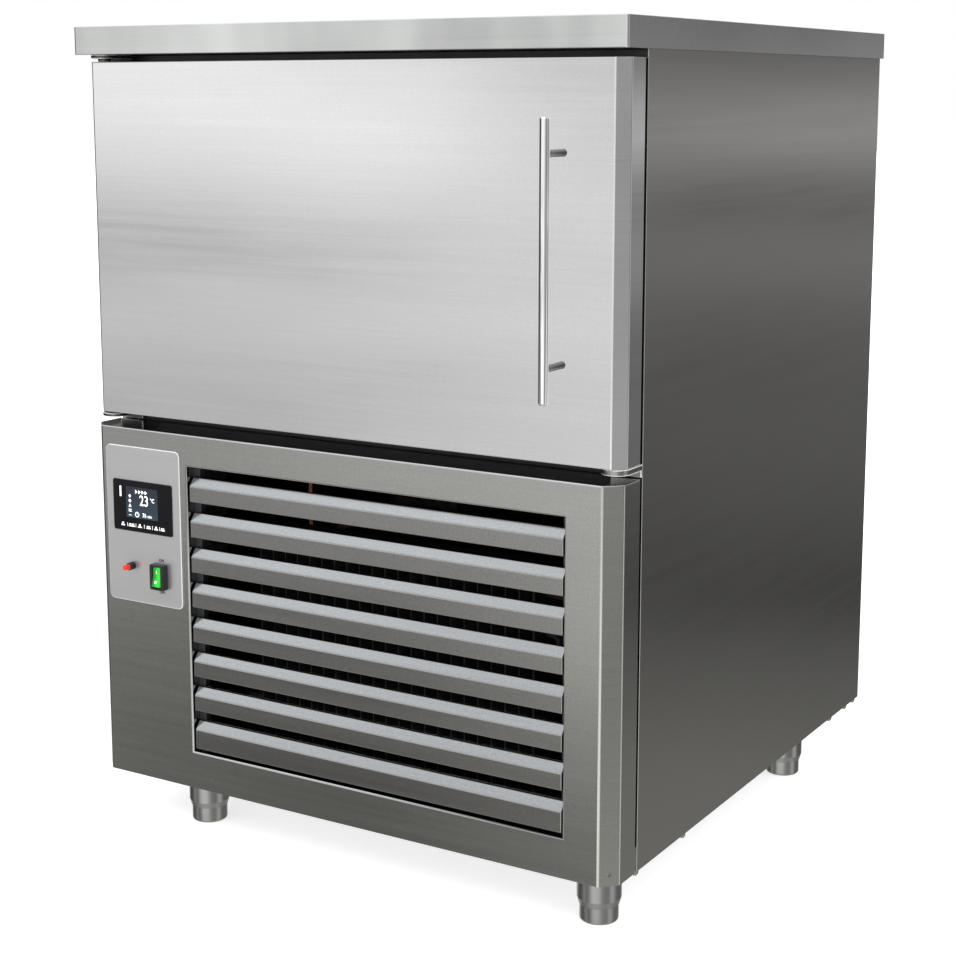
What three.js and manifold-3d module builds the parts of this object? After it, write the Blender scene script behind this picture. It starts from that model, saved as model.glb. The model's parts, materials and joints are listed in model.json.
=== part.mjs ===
// Under-counter blast chiller: insulated chamber above, condensing unit behind a louvre below.
// Millimetres. X to the right, Y from the front to the back, Z up. While the pieces are made, y = 0 is
// the face of the lower front panel and z = 0 is the floor.
import * as THREE from 'three';
import { mergeVertices } from 'three/addons/utils/BufferGeometryUtils.js';
import Module from 'manifold-3d';

const wasm = await Module();
wasm.setup();

// ---------------------------------------------------------------- driving dimensions

const fit = 0.3; // gap between curved or cut neighbours
const roundSides = 16; // facets of the turned pieces
const pipeSides = 6;
const sheet = 1.2; // outer and inner steel sheets

const bodyWidth = 800;
const bodyBack = 834; // from the lower panel's face to the back
const footHeight = 67;
const doorGap = 17; // between the lower panel and the door
const worktopGap = 9; // between the door and the worktop
const worktopHeight = 36;
const worktopOverhang = 6.5; // at each side
const worktopCorner = 3;
const worktopEdge = 1; // rounding of the folded edges
const worktopHem = 10; // turned in under the rim

const lowerPanelClear = 6; // between the panel's returns and the side panels
const lowerPanelBevel = 19.5;
const doorFace = 11; // the door's face stands back from the lower panel's
const doorDepth = 46;
const doorClear = 7; // between the door's back and the side panels, filled by the gasket
const doorBevel = 14.4;

const frontReturn = 14; // side panel's edge turned in at the front
const rearReturn = 20;

const sideWall = 60; // insulation between the side panel and the chamber
const floorWall = 50;
const rearWall = 60;
const ceilingWall = 43.3; // between the chamber and the worktop's underside
const chamberHeight = 397;
const chamberCorner = 20;
const frameDepth = 8; // plastic frame round the door opening
const frameApron = 18; // frame's lower rail below the lower panel's upper edge

const gasketInset = 34; // from the door's edge to the gasket's outer line
const gasketWidth = 16;
const gasketFloorInset = 14;
const gasketCorner = 12;
const gasketLip = 1.5;
const linerRise = 5; // raised middle of the door's inner liner
const linerMargin = 10; // between the gasket and the raised middle

const pivotInset = 18; // hinge pin from the cabinet's side
const pivotDepth = 32; // hinge pin behind the lower panel's face
const pinRadius = 5;
const pinPlay = 0.3;
const pinReach = 15; // into the door
const pinPocket = 4; // beyond the pin's end, in the foam
const pinPocketPlay = 1; // about the pin, in the foam
const bracketRadius = 18;
const bracketThickness = 5;
const bracketFoot = 40; // width of the plate on the cabinet's front
const bracketShoulder = 6; // straight edge behind the round nose
const noseTrim = 10; // degrees of the nose that the straight edge takes
const washerRadius = 9;
const washerThickness = 3;
const restThickness = 7.4;

const handleFromRight = 79; // handle's axis from the cabinet's right side
const handleStandoff = 44; // handle's axis in front of the door's face
const handleRadius = 5.8;
const handleFoot = 76; // bar's lower end above the door's lower edge
const handleLength = 324;
const handlePostInset = 41; // posts from the bar's ends
const handlePostRadius = 4.3;
const handleEndRound = 1.2;

const louvreAside = 10.5; // opening's left edge from the control fascia
const louvreRight = 68; // opening's right edge from the cabinet's right side
const louvreFoot = 51; // opening's lower edge above the panel's lower edge
const louvreHead = 42; // opening's upper edge below the panel's upper edge
const louvreHeight = 392;
const louvreCollar = 16; // depth of the opening's folded rim
const bladeCount = 8;
const bladeGap = 15.2; // dark slot above each blade
const bladeSlope = 11.3; // height of the sloping top
const bladeRecess = 9; // depth of the sloping top
const bladeSetback = 2; // blade's face behind the panel's face
const bladePlay = 2.5; // beside each end
const bladeBottomPlay = 4.5; // dark slot below the lowest blade
const bladeExtra = 0.25; // the lowest blade's face is deeper by this part of a face
const bladeFlange = 2; // level flange behind the slope
const louvreRim = 18; // frame behind the panel, outside the opening
const louvreLap = 10; // frame behind the blades' ends
const louvreFrameDepth = 12;

const fasciaLeft = 27.5; // plate's left edge from the cabinet's left side
const fasciaWidth = 128;
const fasciaHead = 24; // plate's upper edge below the panel's upper edge
const fasciaHeight = 214;
const fasciaCorner = 8;
const fasciaThickness = 2;
const displayWidth = 102;
const displayHeight = 70;
const displayFromLeft = 12.5; // from the plate's left edge
const displayFromFoot = 98; // from the plate's lower edge
const displayProud = 1.8;
const displayCorner = 3;
const displayBody = 28; // depth behind the panel's face
const displayLap = 4; // bezel beyond the body
const rockerAcross = 91.5; // switch centre from the plate's left edge
const rockerUp = 41.5; // switch centre from the plate's lower edge
const rockerHousingWidth = 24;
const rockerHousingHeight = 35;
const rockerHousingProud = 10;
const rockerWell = 12; // depth of the well that the key rocks in
const rockerWellPlay = 1.5; // above and below the key
const rockerShoulder = 2; // housing's collar beyond its body, and its corners
const rockerKeyWidth = 13;
const rockerKeyHeight = 26;
const rockerPivotIn = 4.5; // pivot behind the housing's front
const rockerTilt = 9; // degrees each way
const rockerValley = 1; // key's middle behind the pivot's distance, its ends before it
const rockerBackRadius = 5; // round about the pivot
const rockerBody = 24;
const buttonAcross = 42.5; // button centre from the plate's left edge
const buttonUp = 50; // button centre from the plate's lower edge
const barrelRadius = 5.2;
const barrelProud = 9;
const barrelShank = 4.7; // radius behind the plate
const barrelBody = 18;
const barrelEdge = 0.6;
const capRadius = 3.8;
const capProud = 8;
const capTravel = 3;
const capInside = 5; // cap's length inside the barrel
const capSpare = 1; // bore beyond the cap's travel
const capEdge = [1.2, 0.4]; // the cap's double chamfer
const controlBoxDepth = 110;
const controlBoxMargin = 12; // beyond the controls at each side

const trayThickness = 1.5;
const trayFlange = 30;
const footInsets = { // from the cabinet's nearer side, and from the lower panel's face or the back
  front_left: [142, 60],
  front_right: [47, 57],
  rear_left: [142, 194],
  rear_right: [45, 194],
};
const sleeveRadius = 27.5;
const sleeveFootRadius = 25;
const sleeveHeight = 46;
const sleeveTaper = 8; // height of the lower, tapered part
const sleeveEdge = [0.2, 0.3]; // chamfer at the lower rim
const sleeveCap = 3;
const insertRadius = 24;
const insertRound = 3;
const insertEngaged = 28; // insert's length inside the sleeve

const rackStandoff = 20; // from the chamber's wall to the runners
const rackUprightWidth = 24;
const rackSheet = 1.5;
const rackFront = 34; // first upright behind the chamber's mouth
const rackRear = 76; // last upright's centre in front of the fan panel
const runnerPitch = 70;
const runnerFirst = 34; // lowest runner above the chamber's floor
const runnerHead = 24; // least height above the highest runner
const runnerLedge = 30;
const runnerOverrun = 18; // beyond the uprights
const rackClear = 4; // upright's ends from the rounding of the chamber's floor and ceiling

const fanPanelFlange = 18;
const evaporatorFanRadius = 115;
const guardRings = 3;
const guardSectors = 6;
const guardFirst = 34; // inner radius of the first ring of slots
const guardPitch = 29;
const guardSlot = 20;
const guardBridge = 9; // degrees of metal between slots
const returnSlots = 7;
const returnSlotWidth = 110;
const returnSlotHeight = 12;
const returnSlotPitch = 36;
const returnSlotInset = 24; // from the fan panel's side
const evaporatorWidth = 520;
const evaporatorDepth = 80;
const evaporatorFins = 20;
const evaporatorLegs = 34; // end plates below the fins
const evaporatorHead = 40; // fins below the chamber's ceiling
const evaporatorGap = 118; // fan panel to the fins
const evaporatorBehind = 60.1; // fins to the chamber's back
const evaporatorHubGap = 14; // fan panel to the hub
const evaporatorShaft = 8; // hub to the motor
const evaporatorFootOut = 14; // motor's feet outside the fan

const condenserWidth = 420;
const condenserHeight = 340;
const condenserDepth = 66;
const condenserFins = 20;
const condenserBehind = 60; // condenser's front behind the lower panel's face
const finThickness = 1.6;
const finWeb = 3;
const coilPlate = 2;
const bendRadius = 12;
const bendCorner = 10.8;
const bendLap = 1; // tubes run into the end plates
const coilTube = 5;
const shroudDepth = 40;
const orificeGap = 8; // round the fan
const orificeLip = 20;
const condenserFanRadius = 140;
const condenserHubGap = 4; // shroud to the hub
const condenserShaft = 12; // hub to the motor
const condenserFootOut = 8; // motor's feet outside the orifice
const fanBladeCount = 5;
const fanHubRadius = 28;
const fanHubLength = 26;
const fanHubChamfer = 5;
const fanHubWeb = 6; // hub's closed front
const fanBladeThickness = 2.4;
const fanBladeLap = 3; // blade's root inside the hub
const fanBladePitch = [38, 22]; // degrees at the root and at the tip
const fanBladeSpread = [34, 14]; // degrees, and how much wider in the middle
const fanBladeSweep = 16; // degrees that the tip leads by
const fanBladeCamber = 1.5; // at the tip
const fanBladeReach = 23.4; // most depth of a blade along the shaft
const shaftRadius = 4;
const shaftPlay = 0.3;
const motorRadius = 42;
const motorLength = 66;
const motorNose = 18.9; // radius of the flat front
const motorFrontChamfer = [4, 10];
const motorBackChamfer = 8;
const armWidth = 12;
const armThickness = 4;
const armSetback = 14; // arms behind the motor's front
const armReach = 10.5; // feet beyond the stated radius

const compressorPlace = [150, 520]; // x, y of its axis
const compressorRadius = 98;
const compressorHeight = 205;
const compressorDome = 42;
const compressorSeam = 118.9; // weld above the pot's foot
const seamLip = 5;
const seamBand = 4; // half of the weld's height
const seamStep = 6; // the upper shell sits inside the lower one
const crownRise = 8; // middle of the domed top
const compressorBaseHeight = 14; // under the base plate
const compressorBasePlate = [240, 170, 4];
const suctionPort = 164; // above the base plate's underside
const dischargePort = 66; // above the base plate's underside
const dischargeAside = 50; // from the compressor's axis
const terminalBox = [36, 68, 68]; // depth, width and height
const terminalProud = 22;
const terminalFoot = 60; // above the pot's foot
const grommetRadius = 14;
const grommetInset = 4; // from the base plate's edges
const receiverAside = 9; // receiver's axis outside the condenser's left end
const receiverBehind = 540; // receiver's axis behind the lower panel's face
const receiverRadius = 55;
const receiverHeight = 230;
const receiverDome = 26;
const receiverStand = 15;
const receiverSkirt = [44, 3, 12]; // radius, wall, and height up the tank
const receiverPort = 110; // inlet above the tray
const drierAside = 80; // drier's axis outside the receiver's
const drierBehind = 400; // drier's middle behind the lower panel's face
const drierLength = 110;
const drierRadius = 22;
const drierNeck = [1, 8]; // wall and length of the spun ends
const drierCone = 26; // end of the taper
const drierHeight = 350; // axis above the floor
const drierLap = 4; // tube inside the drier's end
const pipeRadius = 5;
const pipeBend = 18;
const liquidBend = 16;
const suctionRadius = 12; // with its foam sleeve
const suctionSleeve = 3;
const suctionBend = 36;
const suctionLead = 70; // straight run behind the compressor
const dischargeDrop = 22; // below the condenser's top
const dischargeLead = 60; // straight run in front of the compressor
const dischargeAway = 40; // run beside the condenser
const tailAway = 54; // condenser's outlet runs this far outside it
const tailLead = 160; // condenser's outlet turns this far before the receiver's axis
const drierLead = 50; // straight run in front of the drier
const stubLength = 12;
const stubLap = 12; // stub inside the pot

const slotRows = 8; // air slots in the rear panel
const slotColumns = 3;
const slotWidth = 150;
const slotHeight = 8;
const slotPitch = 26;
const slotColumnPitch = 180;
const slotFoot = 233; // lowest slot above the panel's lower edge
const glandRadius = 11;
const glandChamfer = 2;
const glandShank = 8; // radius inside the panel
const glandLength = 16;
const glandPlace = [-300, 70]; // x, and height above the panel's lower edge

// ---------------------------------------------------------------- places worked out from them

const half = bodyWidth / 2;
const bodyFoot = footHeight;
const lowerPanelTop = bodyFoot + louvreFoot + louvreHeight + louvreHead;
const deckTop = lowerPanelTop + sheet;
const cavityFoot = deckTop + floorWall;
const cavityTop = cavityFoot + chamberHeight;
const worktopFoot = cavityTop + ceilingWall;
const worktopTop = worktopFoot + worktopHeight;
const doorFoot = lowerPanelTop + doorGap;
const doorTop = worktopFoot - worktopGap;
const trayTop = bodyFoot + trayThickness;
const doorBack = doorFace + doorDepth;
const sidePanelFront = doorBack + doorClear;
const lowerPanelBack = sidePanelFront - lowerPanelClear;
const sideInner = half - sheet;
const rearPanelBack = bodyBack - sheet;
const rearPanelFront = rearPanelBack - sheet;
const mouth = sidePanelFront + frameDepth; // chamber liner's front edge
const cavityHalf = half - sideWall;
const cavityBack = rearPanelFront - rearWall;
const chamberHalf = cavityHalf - fit - sheet;
const chamberFoot = cavityFoot + fit + sheet;
const chamberTop = cavityTop - fit - sheet;
const chamberBack = cavityBack - fit - sheet;
const pivotX = -half + pivotInset;
const fasciaX = -half + fasciaLeft;
const fasciaZ = lowerPanelTop - fasciaHead - fasciaHeight;
const fasciaFace = -fasciaThickness;
const openingLeft = fasciaX + fasciaWidth + louvreAside;
const openingRight = half - louvreRight;
const openingFoot = bodyFoot + louvreFoot;
const openingTop = openingFoot + louvreHeight;
const louvreMiddle = (openingLeft + openingRight) / 2;
const handleX = half - handleFromRight;
const handleY = doorFace - handleStandoff;
const handleBase = doorFoot + handleFoot;
const evaporatorFront = chamberBack - evaporatorBehind - evaporatorDepth;
const fanPanelFace = evaporatorFront - evaporatorGap;
const chamberMiddle = (chamberFoot + chamberTop) / 2;
const condenserBack = condenserBehind + condenserDepth;
const shroudBack = condenserBack + shroudDepth;
const condenserMiddle = trayTop + condenserHeight / 2;
const condenserLeft = louvreMiddle - condenserWidth / 2;
const condenserRight = louvreMiddle + condenserWidth / 2;
const orificeRadius = condenserFanRadius + orificeGap;
const evaporatorHubFront = fanPanelFace + sheet + evaporatorHubGap;
const evaporatorMotorFront = evaporatorHubFront + fanHubLength + evaporatorShaft;
const condenserHubFront = shroudBack + condenserHubGap;
const condenserMotorFront = condenserHubFront + fanHubLength + condenserShaft;
const suctionZ = trayTop + compressorBaseHeight + suctionPort;
const compressorPortZ = trayTop + compressorBaseHeight + dischargePort;
const dischargeZ = trayTop + condenserHeight - dischargeDrop;
const receiverX = condenserLeft - receiverAside;
const receiverY = receiverBehind;
const drierX = receiverX - drierAside;
const drierY = drierBehind;

// ---------------------------------------------------------------- geometry helpers

// Keeps positions only, joins equal corners, drops slivers of no area and turns the faces outwards.
function closedGeometry(geometry) {
  const bare = geometry.clone();
  bare.deleteAttribute('normal');
  bare.deleteAttribute('uv');
  const merged = mergeVertices(bare, 1e-4);
  const position = merged.getAttribute('position');
  const kept = [];
  let volume = 0;
  const a = new THREE.Vector3();
  const b = new THREE.Vector3();
  const c = new THREE.Vector3();
  for (let i = 0; i < merged.index.count; i += 3) {
    const corner = [0, 1, 2].map((k) => merged.index.getX(i + k));
    if (new Set(corner).size < 3) continue;
    kept.push(corner);
    a.fromBufferAttribute(position, corner[0]);
    b.fromBufferAttribute(position, corner[1]);
    c.fromBufferAttribute(position, corner[2]);
    volume += a.dot(b.cross(c));
  }
  if (volume < 0) kept.forEach((corner) => corner.reverse());
  merged.setIndex(kept.flat());
  return merged;
}

function solid(geometry) {
  const closed = closedGeometry(geometry);
  return new wasm.Manifold(new wasm.Mesh({
    numProp: 3,
    vertProperties: new Float32Array(closed.getAttribute('position').array),
    triVerts: new Uint32Array(closed.index.array),
  }));
}

function geometryOf(manifold) {
  const mesh = manifold.getMesh();
  const geometry = new THREE.BufferGeometry();
  geometry.setAttribute('position', new THREE.BufferAttribute(new Float32Array(mesh.vertProperties), 3));
  geometry.setIndex(new THREE.BufferAttribute(new Uint32Array(mesh.triVerts), 1));
  return geometry;
}

const join = (...solids) => solids.reduce((all, next) => all.add(next));
const cut = (from, ...tools) => tools.reduce((all, next) => all.subtract(next), from);

function box(x0, x1, y0, y1, z0, z1) {
  const geometry = new THREE.BoxGeometry(x1 - x0, y1 - y0, z1 - z0);
  geometry.translate((x0 + x1) / 2, (y0 + y1) / 2, (z0 + z1) / 2);
  return solid(geometry);
}

function shapeOf(points) {
  return new THREE.Shape(points.map(([u, v]) => new THREE.Vector2(u, v)));
}

function extruded(shape, length, curveSegments = 4) {
  return new THREE.ExtrudeGeometry(shape, { depth: length, bevelEnabled: false, curveSegments });
}

// A plan outline in x and y, drawn up from z0 to z1.
function upright(shape, z0, z1) {
  return solid(extruded(shape, z1 - z0).translate(0, 0, z0));
}

// A front outline in x and z, drawn from y0 back to y1.
function frontal(shape, y0, y1) {
  return solid(extruded(shape, y1 - y0).rotateX(Math.PI / 2).translate(0, y1, 0));
}

// A side outline in y and z, drawn from x0 to x1.
function sideways(shape, x0, x1) {
  const turn = new THREE.Matrix4().makeBasis(
    new THREE.Vector3(0, 1, 0), new THREE.Vector3(0, 0, 1), new THREE.Vector3(1, 0, 0));
  return solid(extruded(shape, x1 - x0).applyMatrix4(turn).translate(x0, 0, 0));
}

function roundedRect(u0, u1, v0, v1, radius) {
  const shape = new THREE.Shape();
  shape.moveTo(u0 + radius, v0);
  shape.lineTo(u1 - radius, v0);
  shape.absarc(u1 - radius, v0 + radius, radius, -Math.PI / 2, 0);
  shape.lineTo(u1, v1 - radius);
  shape.absarc(u1 - radius, v1 - radius, radius, 0, Math.PI / 2);
  shape.lineTo(u0 + radius, v1);
  shape.absarc(u0 + radius, v1 - radius, radius, Math.PI / 2, Math.PI);
  shape.lineTo(u0, v0 + radius);
  shape.absarc(u0 + radius, v0 + radius, radius, Math.PI, Math.PI * 1.5);
  return shape;
}

// A profile of [radius, height] turned about the Z axis through x, y.
function turned(profile, x, y, segments = roundSides) {
  const points = profile.map(([radius, height]) => new THREE.Vector2(radius, height));
  return solid(new THREE.LatheGeometry(points, segments).rotateX(Math.PI / 2).translate(x, y, 0));
}

// A profile of [radius, depth] turned about the line through x, z that runs from front to back.
function turnedAlongY(profile, x, z, segments = roundSides) {
  const points = profile.map(([radius, depth]) => new THREE.Vector2(radius, depth));
  return solid(new THREE.LatheGeometry(points, segments).translate(x, 0, z));
}

const rod = (radius, y0, y1, x, z, segments = 12) => turnedAlongY(
  [[0, y0], [radius, y0], [radius, y1], [0, y1]], x, z, segments);

const post = (radius, z0, z1, x, y, segments = 12) => turned(
  [[0, z0], [radius, z0], [radius, z1], [0, z1]], x, y, segments);

// Points of an arc, in a profile's own two directions.
function arc(cu, cv, radius, from, to, steps) {
  return Array.from({ length: steps + 1 }, (_, i) => {
    const angle = THREE.MathUtils.degToRad(from + (to - from) * i / steps);
    return [cu + radius * Math.cos(angle), cv + radius * Math.sin(angle)];
  });
}

// A round tube along straight runs with bent corners.
function pipe(points, radius, bend, steps, sides = pipeSides) {
  const corners = points.map((point) => new THREE.Vector3(...point));
  const path = new THREE.CurvePath();
  let start = corners[0];
  for (let i = 1; i < corners.length - 1; i += 1) {
    const corner = corners[i];
    const before = corners[i - 1].clone().sub(corner).setLength(bend).add(corner);
    const after = corners[i + 1].clone().sub(corner).setLength(bend).add(corner);
    path.add(new THREE.LineCurve3(start, before));
    path.add(new THREE.QuadraticBezierCurve3(before, corner, after));
    start = after;
  }
  path.add(new THREE.LineCurve3(start, corners[corners.length - 1]));
  const section = shapeOf(Array.from({ length: sides }, (_, i) => {
    const angle = 2 * Math.PI * i / sides;
    return [radius * Math.cos(angle), radius * Math.sin(angle)];
  }));
  return solid(new THREE.ExtrudeGeometry(section, { steps, bevelEnabled: false, extrudePath: path }));
}

// Plan outline with both front corners bevelled.
function bevelledPlan(halfWidth, front, back, bevel) {
  return shapeOf([
    [-halfWidth, back], [-halfWidth, front + bevel], [-halfWidth + bevel, front],
    [halfWidth - bevel, front], [halfWidth, front + bevel], [halfWidth, back],
  ]);
}

// How much a 45 degree bevel shrinks when its outline moves inwards by an offset.
const innerBevel = (bevel, offset) => bevel - offset * (2 - Math.SQRT2);

// ---------------------------------------------------------------- scene graph

const chiller = new THREE.Group();

function add(name, shape, color, roughness, metalness) {
  const material = new THREE.MeshStandardMaterial({ color, roughness, metalness, flatShading: true });
  const mesh = new THREE.Mesh(closedGeometry(geometryOf(shape)), material);
  mesh.name = name;
  chiller.add(mesh);
}

const steel = [0xc4c5c3, 0.34, 1];
const darkSteel = [0x8e8f8a, 0.38, 1];
const galvanised = [0xa3a7aa, 0.5, 0.9];
const aluminium = [0xb9bcbe, 0.4, 0.95];
const copper = [0xb5714a, 0.35, 1];
const foam = [0xd9c99a, 0.9, 0];
const blackPlastic = [0x1b1c1d, 0.45, 0];
const blackPaint = [0x17181a, 0.5, 0.2];

// ---------------------------------------------------------------- outer casing

function worktop() {
  const outline = roundedRect(-half - worktopOverhang + worktopEdge, half + worktopOverhang - worktopEdge,
    worktopEdge, bodyBack - worktopEdge, worktopCorner);
  const slab = solid(new THREE.ExtrudeGeometry(outline, {
    depth: worktopHeight - 2 * worktopEdge,
    bevelSize: worktopEdge,
    bevelThickness: worktopEdge,
    bevelSegments: 2,
    curveSegments: 3,
  }).translate(0, 0, worktopFoot + worktopEdge));
  const rim = half + worktopOverhang - sheet;
  const hollow = box(-rim, rim, sheet, bodyBack - sheet, worktopFoot + sheet, worktopTop - sheet);
  const hemX = half + worktopOverhang - worktopHem;
  const way = box(-hemX, hemX, mouth, bodyBack - worktopHem, worktopFoot - 1, worktopFoot + 2 * sheet);
  return cut(slab, hollow, way);
}

function sidePanel(side) {
  const plan = shapeOf([
    [half, sidePanelFront], [half, bodyBack], [half - rearReturn, bodyBack],
    [half - rearReturn, rearPanelBack], [sideInner, rearPanelBack],
    [sideInner, sidePanelFront + sheet], [half - frontReturn, sidePanelFront + sheet],
    [half - frontReturn, sidePanelFront],
  ].map(([x, y]) => [side * x, y]));
  const returnX = [side * (half - frontReturn - 1), side * sideInner].sort((a, b) => a - b);
  const notch = box(...returnX, sidePanelFront - 1, sidePanelFront + sheet + 1,
    bodyFoot - 1, trayTop + trayFlange + fit);
  const railNotch = box(...returnX, sidePanelFront - 1, sidePanelFront + sheet + 1, doorTop, worktopFoot + 1);
  return cut(upright(plan, bodyFoot, worktopFoot), notch, railNotch);
}

function rearPanel() {
  let panel = box(-sideInner + fit, sideInner - fit, rearPanelFront, rearPanelBack, bodyFoot, worktopFoot);
  for (let column = 0; column < slotColumns; column += 1) {
    const x = (column - (slotColumns - 1) / 2) * slotColumnPitch;
    for (let row = 0; row < slotRows; row += 1) {
      const z = bodyFoot + slotFoot + row * slotPitch;
      panel = panel.subtract(box(x - slotWidth / 2, x + slotWidth / 2,
        rearPanelFront - 1, rearPanelBack + 1, z, z + slotHeight));
    }
  }
  const [glandX, glandZ] = glandPlace;
  const nut = turnedAlongY([
    [0, rearPanelFront + sheet / 2], [glandRadius, rearPanelFront + sheet / 2], [glandRadius, bodyBack - glandChamfer],
    [glandRadius - glandChamfer, bodyBack], [0, bodyBack],
  ], glandX, bodyFoot + glandZ, 6);
  const shank = rod(glandShank, rearPanelFront - glandLength, rearPanelFront + sheet / 2,
    glandX, bodyFoot + glandZ, 12);
  return join(panel, nut, shank);
}

function baseTray() {
  const bevel = innerBevel(lowerPanelBevel, sheet + fit);
  const halfWidth = sideInner - fit;
  const front = sheet + fit;
  const outer = bevelledPlan(halfWidth, front, rearPanelFront, bevel);
  const inner = bevelledPlan(halfWidth - trayThickness, front + trayThickness,
    rearPanelFront - trayThickness, innerBevel(bevel, trayThickness));
  return cut(upright(outer, bodyFoot, trayTop + trayFlange), upright(inner, trayTop, trayTop + trayFlange + 1));
}

function frontPanel() {
  const outer = bevelledPlan(half, 0, lowerPanelBack, lowerPanelBevel);
  const inner = bevelledPlan(sideInner, sheet, lowerPanelBack + 1, innerBevel(lowerPanelBevel, sheet));
  const shell = cut(upright(outer, bodyFoot, lowerPanelTop),
    upright(inner, bodyFoot - 1, lowerPanelTop - sheet));
  const collar = box(openingLeft - sheet, openingRight + sheet, sheet / 2, louvreCollar,
    openingFoot - sheet, openingTop + sheet);
  const opening = box(openingLeft, openingRight, -1, louvreCollar + 1, openingFoot, openingTop);
  return cut(join(shell, collar), opening, ...controlCutouts(sheet + 1));
}

// Holes behind the display, the switch and the button, through the plate and the sheet down to depth.
function controlCutouts(depth) {
  const from = fasciaFace - 1;
  const [dx0, dx1, dz0, dz1] = displayBodyEdges().map((edge, i) => edge + (i % 2 ? fit : -fit));
  const rockerX = fasciaX + rockerAcross;
  const rockerZ = fasciaZ + rockerUp;
  const halfX = rockerHousingWidth / 2 - rockerShoulder + fit;
  const halfZ = rockerHousingHeight / 2 - rockerShoulder + fit;
  return [
    box(dx0, dx1, from, depth, dz0, dz1),
    box(rockerX - halfX, rockerX + halfX, from, depth, rockerZ - halfZ, rockerZ + halfZ),
    rod(barrelShank + fit, from, depth, fasciaX + buttonAcross, fasciaZ + buttonUp),
  ];
}

function displayBodyEdges() {
  const x = fasciaX + displayFromLeft;
  const z = fasciaZ + displayFromFoot;
  return [x + displayLap, x + displayWidth - displayLap, z + displayLap, z + displayHeight - displayLap];
}

// ---------------------------------------------------------------- louvre

function louvreFrame() {
  const y0 = louvreCollar;
  const y1 = louvreCollar + louvreFrameDepth;
  return cut(
    box(openingLeft - louvreRim, openingRight + louvreRim, y0, y1,
      openingFoot - louvreLap, openingTop + louvreLap),
    box(openingLeft + louvreLap, openingRight - louvreLap, y0 - 1, y1 + 1, openingFoot, openingTop));
}

// A folded tray, open at the back: upright face, sloping top, level flange, closed ends.
function louvreBlade(index) {
  const bladeFace = (louvreHeight - bladeBottomPlay - bladeCount * (bladeGap + bladeSlope)) / bladeCount;
  const spare = bladeExtra * bladeFace;
  const face = bladeFace - spare / bladeCount;
  const pitch = bladeGap + bladeSlope + face;
  const slopeTop = openingTop - index * pitch - bladeGap;
  const faceTop = slopeTop - bladeSlope;
  const faceFoot = faceTop - face - (index === bladeCount - 1 ? spare : 0);
  const front = bladeSetback;
  const crest = bladeSetback + bladeRecess;
  const outer = shapeOf([
    [front, faceFoot], [louvreCollar, faceFoot], [louvreCollar, slopeTop], [crest, slopeTop], [front, faceTop],
  ]);
  const inner = shapeOf([
    [front + sheet, faceFoot + sheet], [louvreCollar + 1, faceFoot + sheet], [louvreCollar + 1, slopeTop - sheet],
    [crest + sheet / 2, slopeTop - sheet], [front + sheet, faceTop - sheet / 2],
  ]);
  const x0 = openingLeft + bladePlay;
  const x1 = openingRight - bladePlay;
  const slot = box(x0 - 1, x1 + 1, crest + bladeFlange + 1, louvreCollar + 1, slopeTop - 1, slopeTop + 1);
  return cut(sideways(outer, x0, x1), sideways(inner, x0 + sheet, x1 - sheet), slot);
}

// ---------------------------------------------------------------- controls

function controlFascia() {
  const plate = frontal(roundedRect(fasciaX, fasciaX + fasciaWidth, fasciaZ, fasciaZ + fasciaHeight,
    fasciaCorner), fasciaFace, 0);
  return cut(plate, ...controlCutouts(1));
}

function displayModule() {
  const x = fasciaX + displayFromLeft;
  const z = fasciaZ + displayFromFoot;
  const bezel = frontal(roundedRect(x, x + displayWidth, z, z + displayHeight, displayCorner),
    fasciaFace - displayProud, fasciaFace);
  const [x0, x1, z0, z1] = displayBodyEdges();
  return join(bezel, box(x0, x1, fasciaFace - displayProud / 2, displayBody, z0, z1));
}

function rockerHousing() {
  const x = fasciaX + rockerAcross;
  const z = fasciaZ + rockerUp;
  const front = fasciaFace - rockerHousingProud;
  const collar = frontal(roundedRect(x - rockerHousingWidth / 2, x + rockerHousingWidth / 2,
    z - rockerHousingHeight / 2, z + rockerHousingHeight / 2, rockerShoulder), front, fasciaFace);
  const halfX = rockerHousingWidth / 2 - rockerShoulder;
  const halfZ = rockerHousingHeight / 2 - rockerShoulder;
  const body = box(x - halfX, x + halfX, fasciaFace - 1, rockerBody, z - halfZ, z + halfZ);
  const wellX = rockerKeyWidth / 2 + fit;
  const wellZ = rockerKeyHeight / 2 + rockerWellPlay;
  return cut(join(collar, body),
    box(x - wellX, x + wellX, front - 1, front + rockerWell, z - wellZ, z + wellZ));
}

// The key's two flats meet in a shallow valley, and its back is round about the pivot.
function rockerKey() {
  const x = fasciaX + rockerAcross;
  const z = fasciaZ + rockerUp;
  const reach = rockerKeyHeight / 2;
  const pivotY = fasciaFace - rockerHousingProud + rockerPivotIn;
  const tilt = THREE.MathUtils.degToRad(rockerTilt);
  const side = [
    [-rockerPivotIn - rockerValley, -reach], [-rockerPivotIn + rockerValley, 0],
    [-rockerPivotIn - rockerValley, reach], [0, reach], ...arc(0, 0, rockerBackRadius, 60, -60, 6), [0, -reach],
  ].map(([y, up]) => [
    pivotY + y * Math.cos(tilt) + up * Math.sin(tilt),
    z - y * Math.sin(tilt) + up * Math.cos(tilt),
  ]);
  return sideways(shapeOf(side), x - rockerKeyWidth / 2, x + rockerKeyWidth / 2);
}

function buttonBarrel() {
  const front = fasciaFace - barrelProud;
  const bore = capRadius + fit;
  const bottom = front + capInside + capTravel + capSpare;
  return turnedAlongY([
    [0, bottom], [bore, bottom], [bore, front], [barrelRadius - barrelEdge, front], [barrelRadius, front + barrelEdge],
    [barrelRadius, fasciaFace], [barrelShank, fasciaFace], [barrelShank, barrelBody], [0, barrelBody],
  ], fasciaX + buttonAcross, fasciaZ + buttonUp, 20);
}

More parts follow.
